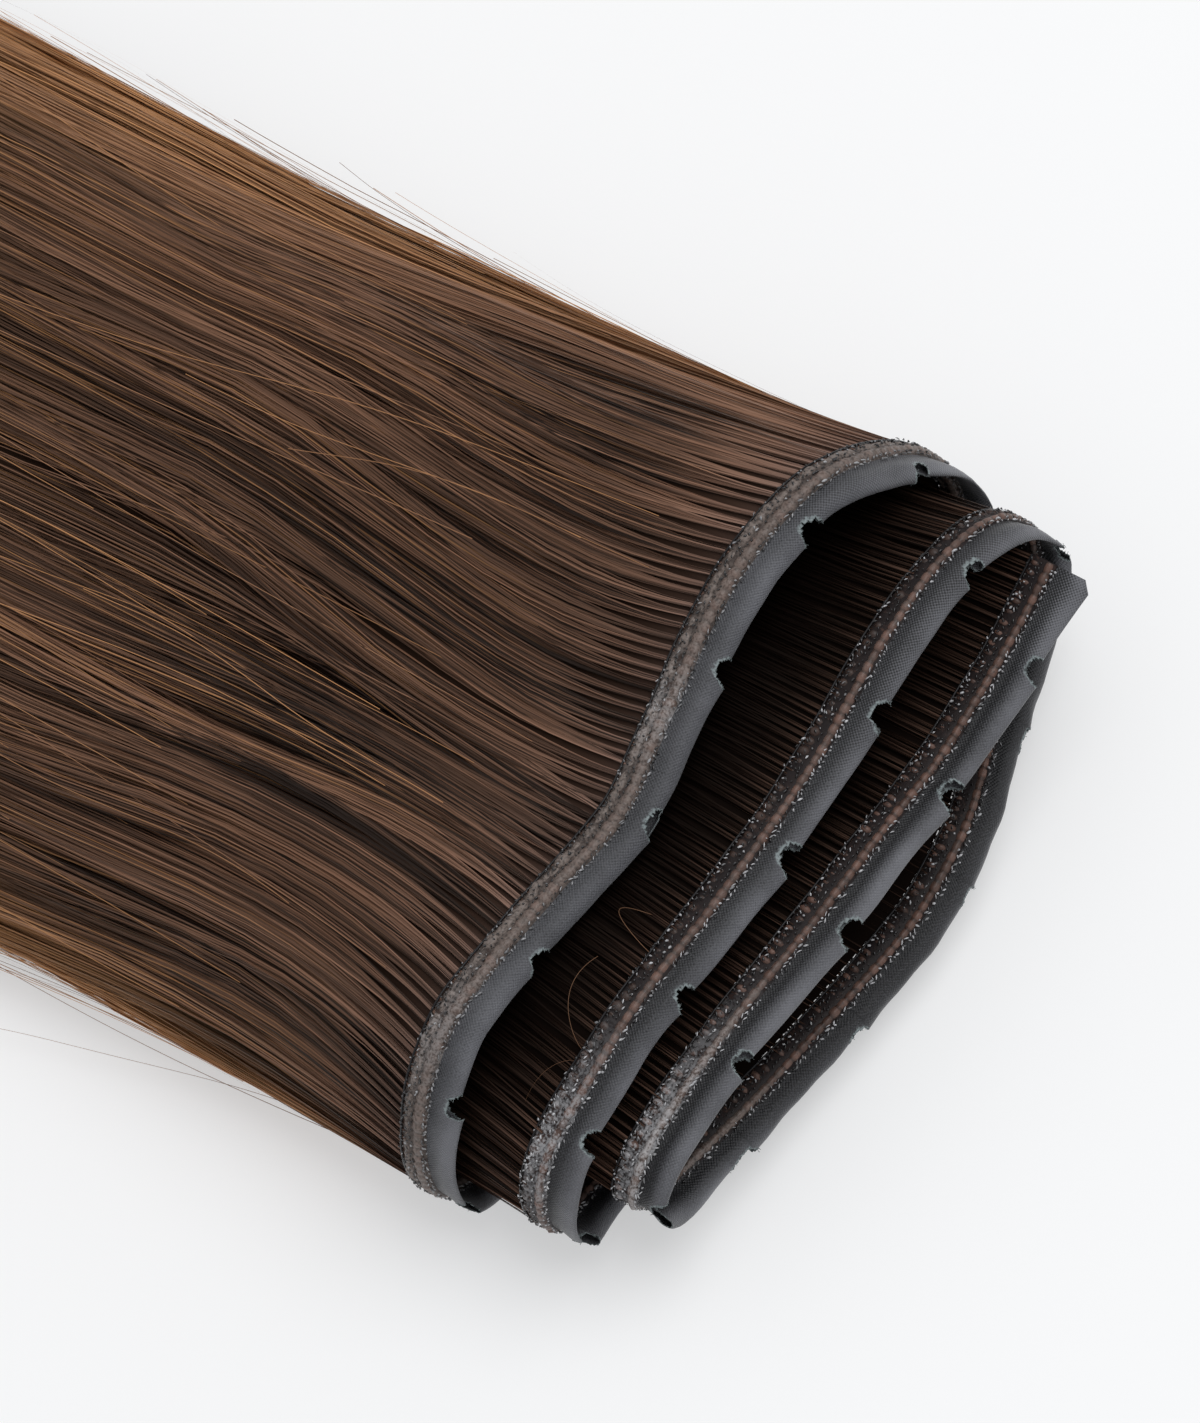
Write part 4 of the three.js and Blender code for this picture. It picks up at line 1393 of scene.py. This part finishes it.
# Loose hairs at the outlines. Columns: place along the strip and scatter in mm, first and last run where they
# leave the surface, limits of their sideways reach in mm (positive to the right), share they fall, how many.
FANS = (
    (386.0, 4.0, 3.0, 120.0, 0.6, 5.0, 0.0, 40),
    (509.0, 3.0, 6.0, 60.0, -9.5, -0.8, 0.6, 18),
)
# Short curled hairs between the inner layers. Columns: place along the strip, how far they run out, how far
# they bend along the strip and how high they bow up in mm, and how far they turn back in half turns.
CURLS = (
    (257.0, 4.4, -8.5, 1.3, 0.62),
    (258.4, 2.4, 6.5, 0.9, 0.52),
    (245.0, 5.0, -3.5, 1.1, 0.85),
)
CURL_SHARE = 0.45
FLYAWAY_STATIONS = 24
FLYAWAY_WIDTH = 0.085


class WEFT_OT_flyaways(bpy.types.Operator):
    """Lift a few loose strands off the surface"""

    bl_idname = "weft.flyaways"
    bl_label = "Flyaways"

    def execute(self, context):
        settings = context.scene.weft_hair
        rng = np.random.default_rng(97)
        tip = settings.length / MM - 6
        part = np.linspace(0.0, 1.0, FLYAWAY_STATIONS)[None]
        groups = [self.over_the_top(rng, settings.flyaways, part, tip)]
        groups += [self.fan(rng, row, part, tip) for row in FANS]
        groups.append(self.curls(part))
        paths = np.concatenate([group[0] for group in groups])
        normal = np.concatenate([group[1] for group in groups])
        paths[..., 2] = np.maximum(paths[..., 2], TABLE_CLEARANCE)
        count = len(paths)
        share = np.where(np.arange(count) < count - len(CURLS), 1.0, CURL_SHARE)
        widths = np.full(paths.shape[:2], FLYAWAY_WIDTH) * (0.3 + 0.7 * share)[:, None]
        points, faces = ribbons(paths, widths, normal, rng.normal(0, 0.5, count))
        tone = np.repeat(np.clip(rng.normal(0.7, 0.2, count), 0, 1) * share, FLYAWAY_STATIONS * 2)
        gold = np.repeat(rng.uniform(0.1, 0.7, count) * share ** 2, FLYAWAY_STATIONS * 2)
        material = hair_material("hair_flyaway", settings, 300.0, 0.3)
        looks = {"tone": tone, "gold": gold, "ash": np.zeros(len(points))}
        make_piece("hair_flyaways", points, faces, material, looks)
        return {"FINISHED"}

    def over_the_top(self, rng, count, part, tip):
        """Hairs that bow up off the top layer and lie across it."""
        s0 = rng.uniform(OUTER_FROM + 18, UNDER_FROM - 4, count)
        start = rng.uniform(4, 150, count)
        span = rng.uniform(45, 170, count)
        run = np.minimum(start[:, None] + span[:, None] * part, tip)
        bow = np.sin(math.pi * part) * rng.uniform(0.4, 3.6, count)[:, None]
        ends = rng.uniform(0, 2.6, count)[:, None] * part ** 2
        lean = rng.normal(0, 7.0, count)[:, None] * part ** 1.5
        ripple = np.sin(part * rng.uniform(4, 9, count)[:, None] + rng.uniform(0, 6, count)[:, None])
        s = np.clip(s0[:, None] + lean + ripple * 0.6, OUTER_FROM, STRIP.length)
        normal = sheet_normal(s, run)
        return hair_sheet(s, run) + normal * (0.5 + bow + ends)[..., None], normal

    def fan(self, rng, row, part, tip):
        """Hairs that leave one outline of the bundle sideways."""
        middle, scatter, first, last, least, most, fall, count = row
        start = rng.uniform(first, last, count)
        span = rng.uniform(40, 95, count)
        run = np.minimum(start[:, None] + span[:, None] * part, tip)
        s = rng.normal(middle, scatter, count)[:, None] * np.ones_like(run)
        normal = sheet_normal(s, run)
        paths = hair_sheet(s, run) + normal * 0.4
        ripple = np.sin(part * rng.uniform(3, 7, count)[:, None] + rng.uniform(0, 6, count)[:, None])
        reach = rng.uniform(least, most, count)[:, None]
        paths[..., 0] += reach * part ** 1.6 + 0.5 * ripple * part
        paths[..., 2] *= 1 - fall * part
        return paths, normal

    def curls(self, part):
        """Hairs that curl in the gap between two layers."""
        place, out, bend, lift, turn = np.array(CURLS).T[..., None]
        run = out * np.sin(turn * math.pi * part)
        s = place + bend * part ** 1.4
        normal = sheet_normal(s, run)
        return hair_sheet(s, run) + normal * (0.3 + lift * np.sin(math.pi * part))[..., None], normal


# Stage: table, light and camera

VIEW_TARGET = np.array([-1.99, 19.02, 0.0])
VIEW_BACK = np.array([-0.2639, -0.3883, 0.8829])
VIEW_UP = np.array([0.8086, 0.4100, 0.4220])
VIEW_DISTANCE = 600.0
IMAGE_LONG_SIDE = 1423
PIXELS_PER_MM = 9.1
SENSOR = 36.0
TABLE_SIZE = 4.0
TABLE_ROWS = 9
TABLE_GLOW = 0.42
KEY_FROM = (0.45, -0.45, 1.35)
KEY_SIZE = 1.2


class WEFT_OT_stage(bpy.types.Operator):
    """Lay the pale table, hang the soft light and set the camera"""

    bl_idname = "weft.stage"
    bl_label = "Stage"

    def execute(self, context):
        settings = context.scene.weft_stage
        self.table(settings)
        self.light(context, settings)
        self.camera(context)
        return {"FINISHED"}

    def table(self, settings):
        """A wide pale table with a faint glow of its own."""
        half = TABLE_SIZE / 2
        line = np.linspace(-half, half, TABLE_ROWS)
        x, y = np.meshgrid(line, line, indexing="ij")
        mesh = bpy.data.meshes.new("table_top")
        points = np.stack([x, y, np.zeros_like(x)], axis=-1).reshape(-1, 3)
        faces = grid_faces(TABLE_ROWS, TABLE_ROWS)
        mesh.from_pydata(points.tolist(), [], faces.tolist())
        shader = Shader("pale_table", Specular_IOR_Level=0.1, Emission_Strength=TABLE_GLOW)
        cloud = shader.noise(object_place(shader), 6.0, 2.0)
        dim = tuple(c * 0.985 for c in settings.table)
        shader.feed(Base_Color=shader.mix(cloud, dim, tuple(settings.table)))
        shader.feed(Roughness=0.55 + cloud * 0.1)
        shader.feed(Emission_Color=shader.mix(cloud, (0.99, 0.995, 1.0), (1.0, 1.0, 1.0)))
        mesh.materials.append(shader.material)
        table = bpy.data.objects.new("table_top", mesh)
        bpy.context.scene.collection.objects.link(table)

    def light(self, context, settings):
        """An even bright room and one large soft lamp."""
        world = bpy.data.worlds.new("soft_room")
        world.use_nodes = True
        background = world.node_tree.nodes["Background"]
        background.inputs["Color"].default_value = (0.975, 0.985, 1.0, 1.0)
        background.inputs["Strength"].default_value = settings.sky
        context.scene.world = world
        lamp = bpy.data.lights.new("soft_key", "AREA")
        lamp.shape = "DISK"
        lamp.size = KEY_SIZE
        lamp.energy = settings.key
        key = bpy.data.objects.new("soft_key", lamp)
        key.location = KEY_FROM
        key.rotation_mode = "QUATERNION"
        key.rotation_quaternion = (-Vector(KEY_FROM)).to_track_quat("-Z", "Y")
        context.scene.collection.objects.link(key)
        context.scene.view_settings.view_transform = "Standard"
        context.scene.view_settings.look = "None"

    def camera(self, context):
        """The photo's view of the sewn end."""
        data = bpy.data.cameras.new("photo_camera")
        data.sensor_width = SENSOR
        data.lens = SENSOR * PIXELS_PER_MM * VIEW_DISTANCE / IMAGE_LONG_SIDE
        data.clip_start, data.clip_end = 0.01, 20.0
        back = unit(VIEW_BACK)
        up = unit(VIEW_UP - back * (VIEW_UP @ back))
        right = np.cross(up, back)
        place = (VIEW_TARGET + back * VIEW_DISTANCE + SHIFT) * MM
        camera = bpy.data.objects.new("photo_camera", data)
        turned = Matrix([[right[k], up[k], back[k], place[k]] for k in range(3)] + [[0, 0, 0, 1]])
        camera.matrix_world = turned
        context.scene.collection.objects.link(camera)
        context.scene.camera = camera


# Panel and registration

OPERATORS = (
    WEFT_OT_stage,
    WEFT_OT_stitched_band,
    WEFT_OT_net_tape,
    WEFT_OT_stitches,
    WEFT_OT_hair_body,
    WEFT_OT_hair_strands,
    WEFT_OT_inner_strands,
    WEFT_OT_flyaways,
)
SETTINGS = {
    "weft_tape": WeftTapeSettings,
    "weft_band": WeftBandSettings,
    "weft_hair": WeftHairSettings,
    "weft_stage": WeftStageSettings,
}


class WEFT_PT_sidebar(bpy.types.Panel):
    """Lists the weft's pieces and their settings"""

    bl_idname = "WEFT_PT_sidebar"
    bl_label = "Butterfly Weft"
    bl_space_type = "VIEW_3D"
    bl_region_type = "UI"
    bl_category = "Weft"

    def draw(self, context):
        for operator in OPERATORS:
            self.layout.operator(operator.bl_idname)
        for key, group in SETTINGS.items():
            box = self.layout.box()
            box.label(text=key.replace("_", " ").capitalize())
            for name in group.__annotations__:
                box.prop(getattr(context.scene, key), name)


CLASSES = (*SETTINGS.values(), *OPERATORS, WEFT_PT_sidebar)


def register():
    """Add the classes and the scene's settings."""
    for item in CLASSES:
        bpy.utils.register_class(item)
    for key, group in SETTINGS.items():
        setattr(bpy.types.Scene, key, PointerProperty(type=group))


def unregister():
    """Remove the scene's settings and the classes."""
    for key in SETTINGS:
        delattr(bpy.types.Scene, key)
    for item in reversed(CLASSES):
        bpy.utils.unregister_class(item)


def main():
    """Build every piece in order."""
    register()
    for operator in OPERATORS:
        group, name = operator.bl_idname.split(".")
        getattr(getattr(bpy.ops, group), name)()


if __name__ == "__main__":
    main()
